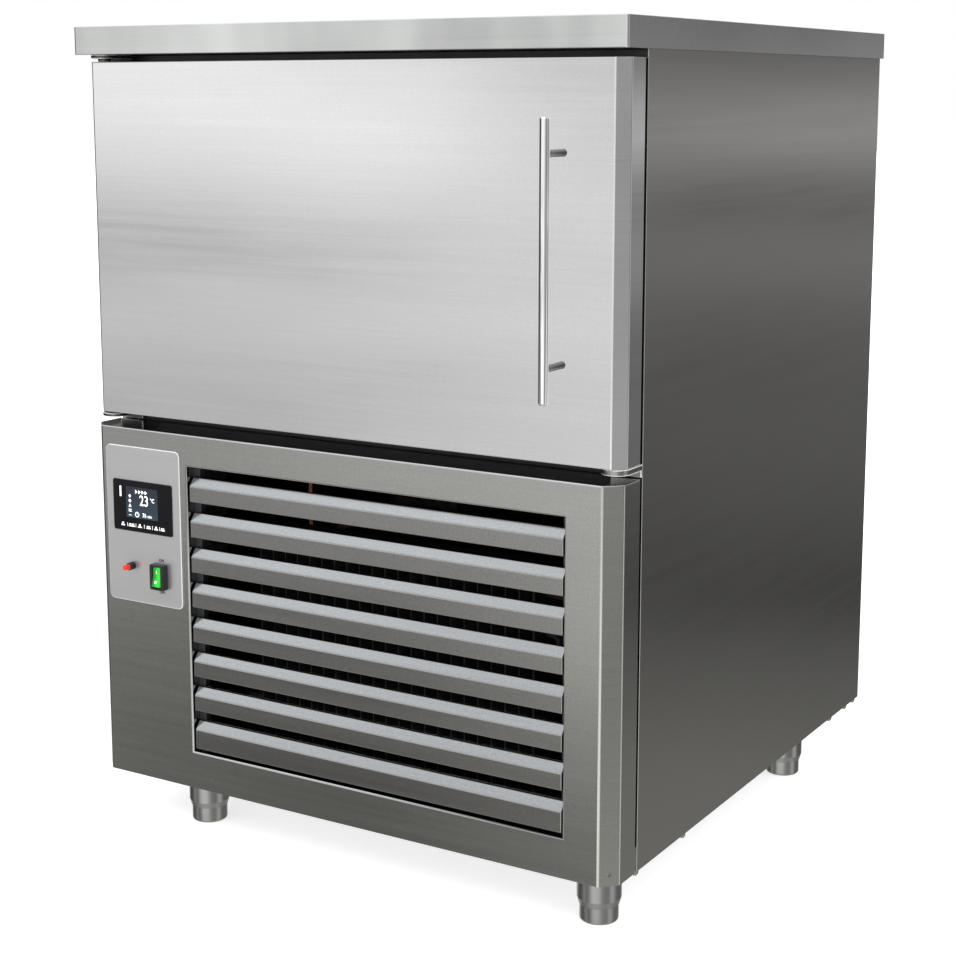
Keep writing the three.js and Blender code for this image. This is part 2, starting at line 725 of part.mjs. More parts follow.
function buttonCap() {
  const front = fasciaFace - barrelProud - capProud;
  const back = fasciaFace - barrelProud + capInside;
  const [wide, narrow] = capEdge;
  return turnedAlongY([
    [0, front], [capRadius - wide, front], [capRadius - narrow, front + narrow], [capRadius, front + wide],
    [capRadius, back], [0, back],
  ], fasciaX + buttonAcross, fasciaZ + buttonUp, 20);
}

function controlBox() {
  const x0 = fasciaX + displayFromLeft - controlBoxMargin;
  const x1 = openingLeft - louvreRim - controlBoxMargin / 3;
  const z0 = fasciaZ;
  const z1 = fasciaZ + fasciaHeight;
  return cut(box(x0, x1, sheet, controlBoxDepth, z0, z1),
    box(x0 + sheet, x1 - sheet, 0, controlBoxDepth - sheet, z0 + sheet, z1 - sheet));
}

// ---------------------------------------------------------------- insulated chamber

function cabinetInsulation() {
  const lower = box(-sideInner, sideInner, mouth, rearPanelFront, deckTop, worktopFoot);
  const upperX = half + worktopOverhang - worktopHem - fit;
  const upper = box(-upperX, upperX, mouth + fit, bodyBack - worktopHem - fit,
    worktopFoot - 1, worktopTop - sheet);
  const cavity = frontal(roundedRect(-cavityHalf, cavityHalf, cavityFoot, cavityTop, chamberCorner),
    mouth - 1, cavityBack);
  return cut(join(lower, upper), cavity);
}

function chamberLiner() {
  const outer = frontal(roundedRect(-cavityHalf + fit, cavityHalf - fit, cavityFoot + fit, cavityTop - fit,
    chamberCorner), mouth, cavityBack - fit);
  const inner = frontal(roundedRect(-chamberHalf, chamberHalf, chamberFoot, chamberTop,
    chamberCorner - sheet), mouth - 1, chamberBack);
  return cut(outer, inner);
}

function frontFrame() {
  const outerX = half - frontReturn - fit;
  const headX = sideInner - fit;
  const outer = join(
    box(-outerX, outerX, sidePanelFront, mouth, lowerPanelTop - frameApron, worktopFoot - fit),
    box(-headX, headX, sidePanelFront, mouth, doorTop + fit, worktopFoot - fit));
  const inner = frontal(roundedRect(-chamberHalf, chamberHalf, chamberFoot, chamberTop,
    chamberCorner - sheet), sidePanelFront - 1, mouth + 1);
  return cut(outer, inner);
}

function chamberDeck() {
  return box(-sideInner + fit, sideInner - fit, mouth, rearPanelFront - fit, lowerPanelTop, deckTop);
}

// Two channel uprights against the wall carry as many flat runners as the chamber's height has room for.
function rack(side) {
  const wall = chamberHalf;
  const face = wall - rackStandoff;
  const firstY = mouth + rackFront;
  const lastY = fanPanelFace - rackRear;
  const uprightFoot = chamberFoot + chamberCorner + rackClear;
  const uprightTop = chamberTop - chamberCorner - rackClear;
  const parts = [];
  for (const centre of [firstY, lastY]) {
    const y0 = centre - rackUprightWidth / 2;
    const y1 = centre + rackUprightWidth / 2;
    const channel = shapeOf([
      [wall - fit, y0], [wall - fit, y0 + rackSheet], [face + rackSheet, y0 + rackSheet],
      [face + rackSheet, y1 - rackSheet], [wall - fit, y1 - rackSheet], [wall - fit, y1],
      [face, y1], [face, y0],
    ].map(([x, y]) => [side * x, y]));
    parts.push(upright(channel, uprightFoot, uprightTop));
  }
  const y0 = firstY - rackUprightWidth / 2 - runnerOverrun;
  const y1 = lastY + rackUprightWidth / 2 + runnerOverrun;
  const room = chamberTop - chamberFoot - runnerFirst - rackSheet - runnerHead;
  const runnerCount = Math.floor(room / runnerPitch) + 1;
  for (let i = 0; i < runnerCount; i += 1) {
    const z = chamberFoot + runnerFirst + i * runnerPitch;
    const ledgeX = [side * (face + rackSheet / 2), side * (face - runnerLedge)].sort((a, b) => a - b);
    parts.push(box(...ledgeX, y0, y1, z, z + rackSheet));
  }
  return join(...parts);
}

// A ring sector in x and z, used to cut the guard's slots.
function ringSector(x, z, inner, outer, from, to) {
  const steps = 3;
  const points = [...arc(x, z, outer, from, to, steps), ...arc(x, z, inner, to, from, steps)];
  return shapeOf(points);
}

function fanPanel() {
  const halfX = chamberHalf - fit;
  const y0 = fanPanelFace;
  const y1 = fanPanelFace + sheet;
  let panel = box(-halfX, halfX, y0, y1, chamberFoot + chamberCorner, chamberTop - chamberCorner);
  const footX = halfX - chamberCorner;
  const foot = box(-footX, footX, y0, y0 + fanPanelFlange, chamberFoot, chamberFoot + sheet);
  const web = box(-footX, footX, y0, y1, chamberFoot, chamberFoot + chamberCorner + 1);
  const head = box(-footX, footX, y0, y0 + fanPanelFlange, chamberTop - fit - sheet, chamberTop - fit);
  const neck = box(-footX, footX, y0, y1, chamberTop - chamberCorner - 1, chamberTop - fit);
  panel = join(panel, foot, web, head, neck);
  const span = 360 / guardSectors;
  for (let ring = 0; ring < guardRings; ring += 1) {
    const inner = guardFirst + ring * guardPitch;
    for (let sector = 0; sector < guardSectors; sector += 1) {
      const from = sector * span + guardBridge / 2 + ring * span / 2;
      panel = panel.subtract(frontal(ringSector(0, chamberMiddle, inner, inner + guardSlot,
        from, from + span - guardBridge), y0 - 1, y1 + 1));
    }
  }
  for (const side of [-1, 1]) {
    const edge = side * (halfX - returnSlotInset);
    const xs = [edge, edge - side * returnSlotWidth].sort((a, b) => a - b);
    for (let i = 0; i < returnSlots; i += 1) {
      const z = chamberMiddle + (i - (returnSlots - 1) / 2) * returnSlotPitch;
      panel = panel.subtract(box(...xs, y0 - 1, y1 + 1, z - returnSlotHeight / 2, z + returnSlotHeight / 2));
    }
  }
  return panel;
}

// Fins in front of and behind a thin middle web, between two end plates, with return bends.
function finnedCoil({ x, width, y, depth, foot, finFoot, top, fins, bends }) {
  const x0 = x - width / 2;
  const x1 = x + width / 2;
  const pitch = (width - coilPlate * 2) / (fins + 1);
  const middle = y + depth / 2;
  const outline = [[x0, middle - finWeb / 2]];
  for (let i = 1; i <= fins; i += 1) {
    const fin = x0 + coilPlate + i * pitch;
    outline.push([fin - finThickness / 2, middle - finWeb / 2], [fin - finThickness / 2, y],
      [fin + finThickness / 2, y], [fin + finThickness / 2, middle - finWeb / 2]);
  }
  outline.push([x1, middle - finWeb / 2], [x1, middle + finWeb / 2]);
  for (let i = fins; i >= 1; i -= 1) {
    const fin = x0 + coilPlate + i * pitch;
    outline.push([fin + finThickness / 2, middle + finWeb / 2], [fin + finThickness / 2, y + depth],
      [fin - finThickness / 2, y + depth], [fin - finThickness / 2, middle + finWeb / 2]);
  }
  outline.push([x0, middle + finWeb / 2]);
  const parts = [
    upright(shapeOf(outline), finFoot, top),
    box(x0, x0 + coilPlate, y, y + depth, foot, top),
    box(x1 - coilPlate, x1, y, y + depth, foot, top),
  ];
  const rise = (top - finFoot) / bends;
  for (let i = 0; i < bends; i += 1) {
    const z = finFoot + rise * (i + 0.5);
    for (const side of [-1, 1]) {
      const plate = side < 0 ? x0 : x1;
      parts.push(pipe([
        [plate - side * bendLap, middle, z - bendRadius],
        [plate + side * (bendRadius + coilTube), middle, z - bendRadius],
        [plate + side * (bendRadius + coilTube), middle, z + bendRadius],
        [plate - side * bendLap, middle, z + bendRadius],
      ], coilTube, bendCorner, 8));
    }
  }
  return join(...parts);
}

function evaporatorCoil() {
  return finnedCoil({
    x: 0,
    width: evaporatorWidth,
    y: evaporatorFront,
    depth: evaporatorDepth,
    foot: chamberFoot,
    finFoot: chamberFoot + evaporatorLegs,
    top: chamberTop - evaporatorHead,
    fins: evaporatorFins,
    bends: 2,
  });
}

// ---------------------------------------------------------------- fans

// One blade: a thin curved sheet from the hub to the tip, its pitch easing off outwards.
function fanBlade(tipRadius) {
  const rootRadius = fanHubRadius - fanBladeLap;
  const [rootPitch, tipPitch] = fanBladePitch;
  const [narrowest, wider] = fanBladeSpread;
  const rows = 4;
  const columns = 3;
  const position = [];
  for (const face of [-0.5, 0.5]) {
    for (let i = 0; i <= rows; i += 1) {
      const t = i / rows;
      const radius = rootRadius + (tipRadius - rootRadius) * t;
      const pitch = THREE.MathUtils.degToRad(rootPitch + (tipPitch - rootPitch) * t);
      const spread = THREE.MathUtils.degToRad(narrowest + wider * Math.sin(Math.PI * t * 0.8));
      const sweep = THREE.MathUtils.degToRad(fanBladeSweep * t * t);
      for (let j = 0; j <= columns; j += 1) {
        const s = j / columns - 0.5;
        const angle = sweep + s * spread;
        const depth = s * Math.min(radius * spread * Math.tan(pitch), fanBladeReach);
        const camber = (1 - 4 * s * s) * fanBladeCamber * t;
        position.push(radius * Math.cos(angle), depth + camber + face * fanBladeThickness,
          radius * Math.sin(angle));
      }
    }
  }
  const layer = (rows + 1) * (columns + 1);
  const at = (side, i, j) => side * layer + i * (columns + 1) + j;
  const index = [];
  const quad = (a, b, c, d) => index.push(a, b, c, a, c, d);
  for (let i = 0; i < rows; i += 1) {
    for (let j = 0; j < columns; j += 1) {
      quad(at(0, i, j), at(0, i, j + 1), at(0, i + 1, j + 1), at(0, i + 1, j));
      quad(at(1, i, j), at(1, i + 1, j), at(1, i + 1, j + 1), at(1, i, j + 1));
    }
    quad(at(0, i, 0), at(0, i + 1, 0), at(1, i + 1, 0), at(1, i, 0));
    quad(at(0, i, columns), at(1, i, columns), at(1, i + 1, columns), at(0, i + 1, columns));
  }
  for (let j = 0; j < columns; j += 1) {
    quad(at(0, 0, j), at(1, 0, j), at(1, 0, j + 1), at(0, 0, j + 1));
    quad(at(0, rows, j), at(0, rows, j + 1), at(1, rows, j + 1), at(1, rows, j));
  }
  const geometry = new THREE.BufferGeometry();
  geometry.setAttribute('position', new THREE.Float32BufferAttribute(position, 3));
  geometry.setIndex(index);
  return geometry;
}

// Axial fan: hub with a blind bore for the motor's shaft, and swept blades.
function fan(x, front, z, tipRadius) {
  const back = front + fanHubLength;
  const bore = shaftRadius + shaftPlay;
  const hub = turnedAlongY([
    [0, front], [fanHubRadius - fanHubChamfer, front], [fanHubRadius, front + fanHubChamfer],
    [fanHubRadius, back], [bore, back], [bore, front + fanHubWeb], [0, front + fanHubWeb],
  ], x, z);
  const parts = [hub];
  for (let i = 0; i < fanBladeCount; i += 1) {
    const blade = fanBlade(tipRadius).rotateY(2 * Math.PI * i / fanBladeCount);
    parts.push(solid(blade.translate(x, front + fanHubLength / 2, z)));
  }
  return join(...parts);
}

// Motor with its shaft, held by four arms whose feet stand on the plate in front of it.
function fanMotor(x, plateBack, front, z, footRadius, hubFront) {
  const shaftFront = hubFront + fanHubWeb + shaftPlay;
  const [slight, long] = motorFrontChamfer;
  const back = front + motorLength;
  const body = turnedAlongY([
    [0, shaftFront], [shaftRadius, shaftFront], [shaftRadius, front],
    [motorNose, front], [motorRadius - slight, front + slight], [motorRadius, front + long],
    [motorRadius, back - motorBackChamfer], [motorRadius - motorBackChamfer, back], [0, back],
  ], x, z);
  const armY = front + armSetback;
  const parts = [body];
  for (let i = 0; i < 4; i += 1) {
    const arm = new THREE.BoxGeometry(footRadius, armThickness, armWidth);
    arm.translate(footRadius / 2 + armReach, armY, 0);
    const leg = new THREE.BoxGeometry(armThickness, armY - plateBack, armWidth);
    leg.translate(footRadius + armReach - armThickness / 2, (armY + plateBack) / 2, 0);
    for (const piece of [arm, leg]) {
      piece.rotateY(Math.PI / 4 + i * Math.PI / 2);
      parts.push(solid(piece.translate(x, 0, z)));
    }
  }
  return join(...parts);
}

// ---------------------------------------------------------------- condensing unit

function condenserCoil() {
  const coil = finnedCoil({
    x: louvreMiddle,
    width: condenserWidth,
    y: condenserBehind,
    depth: condenserDepth,
    foot: trayTop,
    finFoot: trayTop + coilPlate,
    top: trayTop + condenserHeight,
    fins: condenserFins,
    bends: 2,
  });
  const middle = condenserBehind + condenserDepth / 2;
  const tailZ = trayTop + receiverPort;
  const outside = condenserLeft - tailAway;
  const turn = receiverY - tailLead;
  const tail = pipe([
    [condenserLeft + bendLap, middle, tailZ], [outside, middle, tailZ], [outside, turn, tailZ],
    [receiverX, turn, tailZ], [receiverX, receiverY - receiverRadius - stubLength - fit, tailZ],
  ], pipeRadius, pipeBend, 28);
  const inlet = sidewaysRod(pipeRadius, condenserRight - bendLap, condenserRight + stubLength, middle, dischargeZ);
  return join(coil, tail, inlet);
}

function sidewaysRod(radius, x0, x1, y, z, segments = 12) {
  const rodGeometry = new THREE.CylinderGeometry(radius, radius, x1 - x0, segments);
  return solid(rodGeometry.rotateZ(Math.PI / 2).translate((x0 + x1) / 2, y, z));
}

function condenserShroud() {
  const x0 = condenserLeft;
  const x1 = condenserRight;
  const top = trayTop + condenserHeight;
  const shell = cut(box(x0, x1, condenserBack, shroudBack, trayTop, top),
    box(x0 + sheet, x1 - sheet, condenserBack - 1, shroudBack - sheet, trayTop + sheet, top - sheet));
  const lip = rod(orificeRadius + sheet, shroudBack - sheet / 2, shroudBack + orificeLip,
    louvreMiddle, condenserMiddle, 32);
  const orifice = rod(orificeRadius, condenserBack, shroudBack + orificeLip + 1,
    louvreMiddle, condenserMiddle, 32);
  return cut(join(shell, lip), orifice);
}

// Welded pot with domed ends and a seam, on a base plate with four rubber feet and two stubs.
function compressor() {
  const [x, y] = compressorPlace;
  const [plateX, plateY, plateZ] = compressorBasePlate;
  const plateFoot = trayTop + compressorBaseHeight;
  const foot = plateFoot + plateZ - 1;
  const top = foot + compressorHeight;
  const seam = foot + compressorSeam;
  const dome = compressorDome;
  const lower = arc(compressorRadius - dome, foot + dome, dome, -90, 0, 3);
  const crown = arc(compressorRadius - dome - seamStep, top - dome, dome, 0, 90, 3);
  const pot = turned([
    [0, foot], ...lower, [compressorRadius, seam - seamBand], [compressorRadius + seamLip, seam - seamBand],
    [compressorRadius + seamLip, seam + seamBand], [compressorRadius - seamStep, seam + seamBand], ...crown,
    [0, top + crownRise],
  ], x, y);
  const plate = box(x - plateX / 2, x + plateX / 2, y - plateY / 2, y + plateY / 2,
    plateFoot, plateFoot + plateZ);
  const parts = [pot, plate];
  for (const sx of [-1, 1]) {
    for (const sy of [-1, 1]) {
      parts.push(post(grommetRadius, trayTop, plateFoot + 1, x + sx * (plateX / 2 - grommetRadius - grommetInset),
        y + sy * (plateY / 2 - grommetRadius - grommetInset)));
    }
  }
  parts.push(rod(suctionRadius - suctionSleeve, y + compressorRadius - stubLap, y + compressorRadius + stubLength,
    x, suctionZ));
  parts.push(rod(pipeRadius, y - compressorRadius - stubLength, y, x + dischargeAside, compressorPortZ));
  const terminalX = x - compressorRadius - terminalProud;
  const [depth, width, height] = terminalBox;
  parts.push(box(terminalX, terminalX + depth, y - width / 2, y + width / 2,
    foot + terminalFoot, foot + terminalFoot + height));
  return join(...parts);
}

function liquidReceiver() {
  const x = receiverX;
  const y = receiverY;
  const foot = trayTop + receiverStand;
  const top = foot + receiverHeight;
  const dome = receiverDome;
  const [skirtRadius, skirtWall, skirtLap] = receiverSkirt;
  const tank = turned([
    [0, foot], ...arc(receiverRadius - dome, foot + dome, dome, -90, 0, 3),
    ...arc(receiverRadius - dome, top - dome, dome, 0, 90, 3), [0, top],
  ], x, y);
  const stand = cut(post(skirtRadius, trayTop, foot + skirtLap, x, y),
    post(skirtRadius - skirtWall, trayTop - 1, foot - 1, x, y));
  const outlet = post(pipeRadius, top - pipeRadius, top + stubLength, x, y);
  const inlet = rod(pipeRadius, y - receiverRadius - stubLength, y, x, trayTop + receiverPort);
  return join(tank, stand, outlet, inlet);
}

// Spun copper drier with its outlet tube, which rises to the deck.
function filterDrier() {
  const x = drierX;
  const front = drierY - drierLength / 2;
  const back = drierY + drierLength / 2;
  const [neckWall, neckLength] = drierNeck;
  const neck = pipeRadius + neckWall;
  const shell = turnedAlongY([
    [0, front], [neck, front], [neck, front + neckLength], [drierRadius, front + drierCone],
    [drierRadius, back - drierCone], [neck, back - neckLength], [neck, back], [0, back],
  ], x, drierHeight, 14);
  const tail = pipe([
    [x, front + drierLap, drierHeight], [x, front - drierLead, drierHeight],
    [x, front - drierLead, lowerPanelTop - fit],
  ], pipeRadius, pipeBend, 14);
  return join(shell, tail);
}

function liquidPipe() {
  const start = trayTop + receiverStand + receiverHeight + stubLength + fit;
  return pipe([
    [receiverX, receiverY, start], [receiverX, receiverY, drierHeight],
    [drierX, receiverY, drierHeight], [drierX, drierY + drierLength / 2 + fit, drierHeight],
  ], pipeRadius, liquidBend, 20);
}

function suctionPipe() {
  const [x, y] = compressorPlace;
  const start = y + compressorRadius + stubLength + fit;
  return pipe([
    [x, start, suctionZ], [x, start + suctionLead, suctionZ], [x, start + suctionLead, lowerPanelTop - fit],
  ], suctionRadius, suctionBend, 18, 8);
}

function dischargePipe() {
  const x = compressorPlace[0] + dischargeAside;
  const middle = condenserBehind + condenserDepth / 2;
  const right = condenserRight + stubLength + fit;
  const start = compressorPlace[1] - compressorRadius - stubLength - fit;
  const turn = start - dischargeLead;
  const outside = right + dischargeAway;
  return pipe([
    [x, start, compressorPortZ], [x, turn, compressorPortZ],
    [outside, turn, compressorPortZ], [outside, turn, dischargeZ],
    [outside, middle, dischargeZ], [right, middle, dischargeZ],
  ], pipeRadius, pipeBend, 34);
}

// ---------------------------------------------------------------- door

function doorSkin() {
  const outer = bevelledPlan(half, doorFace, doorBack, doorBevel);
  const inner = bevelledPlan(sideInner, doorFace + sheet, doorBack + 1, innerBevel(doorBevel, sheet));
  const hole = post(pinRadius + pinPlay, doorFoot - 1, doorTop + 1, pivotX, pivotDepth, 20);
  const insulation = upright(inner, doorFoot + sheet, doorTop - sheet);
  return cut(upright(outer, doorFoot, doorTop), insulation, hole);
}

function doorInsulation() {
  const gap = sheet + fit;
  const plan = bevelledPlan(half - gap, doorFace + gap, doorBack - sheet - fit, innerBevel(doorBevel, gap));
  const core = upright(plan, doorFoot + gap, doorTop - gap);
  const pocket = (z0, z1) => post(pinRadius + pinPocketPlay, z0, z1, pivotX, pivotDepth, 16);
  const depth = pinReach + pinPocket;
  return cut(core, pocket(doorFoot, doorFoot + depth), pocket(doorTop - depth, doorTop));
}

function gasketEdges() {
  const x1 = half - gasketInset;
  const z0 = doorFoot + gasketFloorInset;
  const z1 = doorTop - gasketFloorInset;
  return [x1, z0, z1];
}

function doorGasket() {
  const [x1, z0, z1] = gasketEdges();
  const back = sidePanelFront - fit;
  const ring = (inset, y0, y1) => cut(
    frontal(roundedRect(-x1 + inset, x1 - inset, z0 + inset, z1 - inset, gasketCorner - inset), y0, y1),
    frontal(roundedRect(-x1 + gasketWidth - inset, x1 - gasketWidth + inset, z0 + gasketWidth - inset,
      z1 - gasketWidth + inset, gasketCorner / 2 + inset), y0 - 1, y1 + 1));
  const crest = back - gasketLip;
  return join(ring(0, doorBack, crest), ring(gasketLip * 2, crest - 1, back));
}

function doorLiner() {
  const gap = sheet + fit;
  const plate = box(-half + gap, half - gap, doorBack - sheet, doorBack, doorFoot + gap, doorTop - gap);
  const [x1, z0, z1] = gasketEdges();
  const margin = gasketWidth + linerMargin;
  const dish = new THREE.ExtrudeGeometry(
    roundedRect(-x1 + margin + linerRise, x1 - margin - linerRise, z0 + margin + linerRise,
      z1 - margin - linerRise, chamberCorner - linerRise),
    { depth: 1, bevelSize: linerRise, bevelThickness: linerRise, bevelSegments: 1, curveSegments: 5 });
  const raised = solid(dish.rotateX(Math.PI / 2).translate(0, doorBack, 0));
  const front = box(-half, half, doorFace, doorBack - sheet / 2, doorFoot, doorTop);
  return join(plate, cut(raised, front));
}

function handleBar() {
  const top = handleBase + handleLength;
  return turned([
    [0, handleBase], [handleRadius - handleEndRound, handleBase],
    [handleRadius, handleBase + handleEndRound], [handleRadius, top - handleEndRound],
    [handleRadius - handleEndRound, top], [0, top],
  ], handleX, handleY);
}

function handlePost(z) {
  const bar = post(handleRadius + fit, z - handleRadius, z + handleRadius, handleX, handleY, 24);
  return cut(rod(handlePostRadius, handleY, doorFace, handleX, z, 20), bar);
}

// ---------------------------------------------------------------- hinge brackets

// Plan of a plate that runs from the cabinet's front to a round nose about the pivot.
function bracketPlan(side) {
  const x = side * (half - pivotInset);
  const outer = side * half;
  const inner = side * (half - pivotInset - bracketRadius);
  const nose = arc(0, pivotDepth, bracketRadius, 180, 360 - noseTrim, 10).map(([u, v]) => [x + side * u, v]);
  return shapeOf([
    [inner, sidePanelFront], ...nose, [outer, pivotDepth + bracketShoulder], [outer, sidePanelFront],
  ]);
}

function hingeBracketBottom() {
  const top = doorFoot - washerThickness;
  const foot = top - bracketThickness;
  const plate = upright(bracketPlan(-1), foot, top);
  const flange = box(-half, -half + bracketFoot, sidePanelFront - bracketThickness + 1, sidePanelFront,
    deckTop, top);
  const washer = post(washerRadius, top - 1, doorFoot - fit, pivotX, pivotDepth, 20);
  const pin = post(pinRadius, foot + 1, doorFoot + pinReach, pivotX, pivotDepth, 20);
  return join(plate, flange, washer, pin);
}

function hingeBracketTop() {
  const foot = worktopFoot - bracketThickness;
  const plate = upright(bracketPlan(-1), foot, worktopFoot);
  const washer = post(washerRadius, doorTop + fit, foot + 1, pivotX, pivotDepth, 20);
  const pin = post(pinRadius, doorTop - pinReach, foot + 1, pivotX, pivotDepth, 20);
  return join(plate, washer, pin);
}

function doorRestBracket() {
  const top = doorFoot - fit;
  const plate = upright(bracketPlan(1), top - restThickness, top);
  const flange = box(half - bracketFoot, half, sidePanelFront - bracketThickness + 1, sidePanelFront,
    deckTop, top);
  return join(plate, flange);
}

// ---------------------------------------------------------------- feet

function footSleeve(x, y) {
  const foot = footHeight - sleeveHeight;
  const bore = insertRadius + fit;
  const [edge, rise] = sleeveEdge;
  return turned([
    [bore, foot], [sleeveFootRadius - edge, foot], [sleeveFootRadius, foot + rise], [sleeveRadius, foot + sleeveTaper],
    [sleeveRadius, footHeight], [0, footHeight], [0, footHeight - sleeveCap], [bore, footHeight - sleeveCap],
    [bore, foot],
  ], x, y);
}

function footInsert(x, y) {
  const top = footHeight - sleeveHeight + insertEngaged;
  return turned([
    [0, 0], ...arc(insertRadius - insertRound, insertRound, insertRound, -90, 0, 2),
    [insertRadius, top], [0, top],
  ], x, y);
}

// ---------------------------------------------------------------- assembly

add('worktop', worktop(), ...steel);
add('side_panel_left', sidePanel(-1), ...darkSteel);
add('side_panel_right', sidePanel(1), ...darkSteel);
add('rear_panel', rearPanel(), ...galvanised);
add('base_tray', baseTray(), ...galvanised);
add('front_panel', frontPanel(), ...darkSteel);
add('louvre_frame', louvreFrame(), ...blackPaint);
for (let i = 0; i < bladeCount; i += 1) {
  add(`louvre_blade_${i + 1}`, louvreBlade(i), ...steel);
}

add('control_fascia', controlFascia(), ...steel);
add('display_module', displayModule(), 0x0b0c0e, 0.12, 0);
add('rocker_housing', rockerHousing(), ...blackPlastic);
add('rocker_key', rockerKey(), 0x1fbf3c, 0.25, 0);
add('button_barrel', buttonBarrel(), ...blackPlastic);
add('button_cap', buttonCap(), 0xc8201c, 0.3, 0);
add('control_box', controlBox(), ...galvanised);

add('cabinet_insulation', cabinetInsulation(), ...foam);
add('chamber_liner', chamberLiner(), ...steel);
add('front_frame', frontFrame(), ...blackPlastic);
add('chamber_deck', chamberDeck(), ...galvanised);
add('rack_left', rack(-1), ...steel);
add('rack_right', rack(1), ...steel);
add('fan_panel', fanPanel(), ...steel);
add('evaporator_coil', evaporatorCoil(), ...aluminium);
add('evaporator_fan', fan(0, evaporatorHubFront, chamberMiddle, evaporatorFanRadius), ...aluminium);
add('evaporator_fan_motor', fanMotor(0, fanPanelFace + sheet, evaporatorMotorFront, chamberMiddle,
  evaporatorFanRadius + evaporatorFootOut, evaporatorHubFront), ...blackPaint);

add('condenser_coil', condenserCoil(), ...aluminium);
add('condenser_shroud', condenserShroud(), ...galvanised);
add('condenser_fan', fan(louvreMiddle, condenserHubFront, condenserMiddle, condenserFanRadius), ...aluminium);
add('condenser_fan_motor', fanMotor(louvreMiddle, shroudBack, condenserMotorFront, condenserMiddle,
  orificeRadius + condenserFootOut, condenserHubFront), ...blackPaint);
add('compressor', compressor(), ...blackPaint);
add('liquid_receiver', liquidReceiver(), ...blackPaint);
add('filter_drier', filterDrier(), ...copper);
add('liquid_pipe', liquidPipe(), ...copper);
add('suction_pipe', suctionPipe(), ...blackPlastic);
add('discharge_pipe', dischargePipe(), ...copper);

add('door_skin', doorSkin(), ...steel);
add('door_insulation', doorInsulation(), ...foam);
add('door_liner', doorLiner(), ...steel);
add('door_gasket', doorGasket(), 0x2a2b2c, 0.8, 0);
add('handle_bar', handleBar(), 0xd8d9d9, 0.2, 1);
add('handle_post_top', handlePost(handleBase + handleLength - handlePostInset), 0xd8d9d9, 0.2, 1);
add('handle_post_bottom', handlePost(handleBase + handlePostInset), 0xd8d9d9, 0.2, 1);

add('hinge_bracket_top', hingeBracketTop(), ...steel);
add('hinge_bracket_bottom', hingeBracketBottom(), ...steel);
add('door_rest_bracket', doorRestBracket(), ...steel);

for (const [corner, [fromSide, fromEnd]] of Object.entries(footInsets)) {
  const x = corner.endsWith('left') ? -half + fromSide : half - fromSide;
  const y = corner.startsWith('front') ? fromEnd : bodyBack - fromEnd;
  add(`foot_sleeve_${corner}`, footSleeve(x, y), ...darkSteel);
  add(`foot_insert_${corner}`, footInsert(x, y), ...darkSteel);
}

// The handle reaches furthest forward: the origin goes to the middle of the whole depth, on the floor.
const frontReach = handleY - handleRadius;
chiller.position.y = -(frontReach + bodyBack) / 2;
chiller.updateMatrixWorld(true);

export default chiller;
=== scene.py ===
import json
from math import cos, pi, radians, sin

import bmesh
import bpy
import numpy as np
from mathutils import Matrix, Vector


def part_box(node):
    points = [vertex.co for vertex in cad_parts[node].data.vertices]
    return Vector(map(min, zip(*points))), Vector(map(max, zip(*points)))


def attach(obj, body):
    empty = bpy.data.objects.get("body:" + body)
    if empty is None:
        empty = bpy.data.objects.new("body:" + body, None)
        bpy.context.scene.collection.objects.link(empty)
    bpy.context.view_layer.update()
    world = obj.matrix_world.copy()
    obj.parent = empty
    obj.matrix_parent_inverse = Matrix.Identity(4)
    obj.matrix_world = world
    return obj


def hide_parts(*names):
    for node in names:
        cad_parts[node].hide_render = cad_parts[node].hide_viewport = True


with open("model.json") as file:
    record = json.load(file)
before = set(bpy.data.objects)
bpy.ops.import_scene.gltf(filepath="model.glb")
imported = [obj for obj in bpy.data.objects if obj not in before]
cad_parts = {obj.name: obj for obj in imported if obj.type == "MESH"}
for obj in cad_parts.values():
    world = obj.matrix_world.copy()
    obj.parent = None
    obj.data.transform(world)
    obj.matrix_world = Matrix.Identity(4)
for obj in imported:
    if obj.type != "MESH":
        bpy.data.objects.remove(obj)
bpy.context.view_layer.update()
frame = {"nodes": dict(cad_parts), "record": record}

# Metres throughout, X right, Y back, Z up, as the solids have them.
mm = 0.001
record = frame["record"]
bodyOf = {node: body for body, nodes in record["behaviour"]["bodies"].items() for node in nodes}
slotOf = {part["node"]: part["material_slot"] for part in record["subparts"]}
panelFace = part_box("front_panel")[0][1]  # the lower panel's face
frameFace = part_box("front_frame")[0][1]  # the dark rail's face, in line with the side panels' front edges
sheet = 1.2 * mm  # thickness of the steel sheets


# node helpers

def addNode(tree, kind, inputs=None, **settings):
    # one shader node, its settings, and its inputs as values or as sockets to link from
    node = tree.nodes.new(kind)
    for key, value in settings.items():
        setattr(node, key, value)
    for key, value in (inputs or {}).items():
        if isinstance(value, bpy.types.NodeSocket):
            tree.links.new(value, node.inputs[key])
        else:
            node.inputs[key].default_value = value
    return node


def maths(tree, operation, first, second=0.0):
    return addNode(tree, "ShaderNodeMath", {0: first, 1: second}, operation=operation).outputs[0]


def swing(tree, value, amount, middle=0.5):
    # how far a value lies from its middle, times an amount
    return maths(tree, "MULTIPLY", maths(tree, "SUBTRACT", value, middle), amount)


def scaled(tree, vector, factors):
    return addNode(tree, "ShaderNodeVectorMath", {0: vector, 1: factors}, operation="MULTIPLY").outputs[0]


def dimmed(tree, colour, factor):
    return addNode(tree, "ShaderNodeVectorMath", {0: colour, "Scale": factor}, operation="SCALE").outputs[0]


def mixed(tree, share, first, second):
    return addNode(tree, "ShaderNodeMix", {0: share, 6: first, 7: second}, data_type="RGBA").outputs[2]


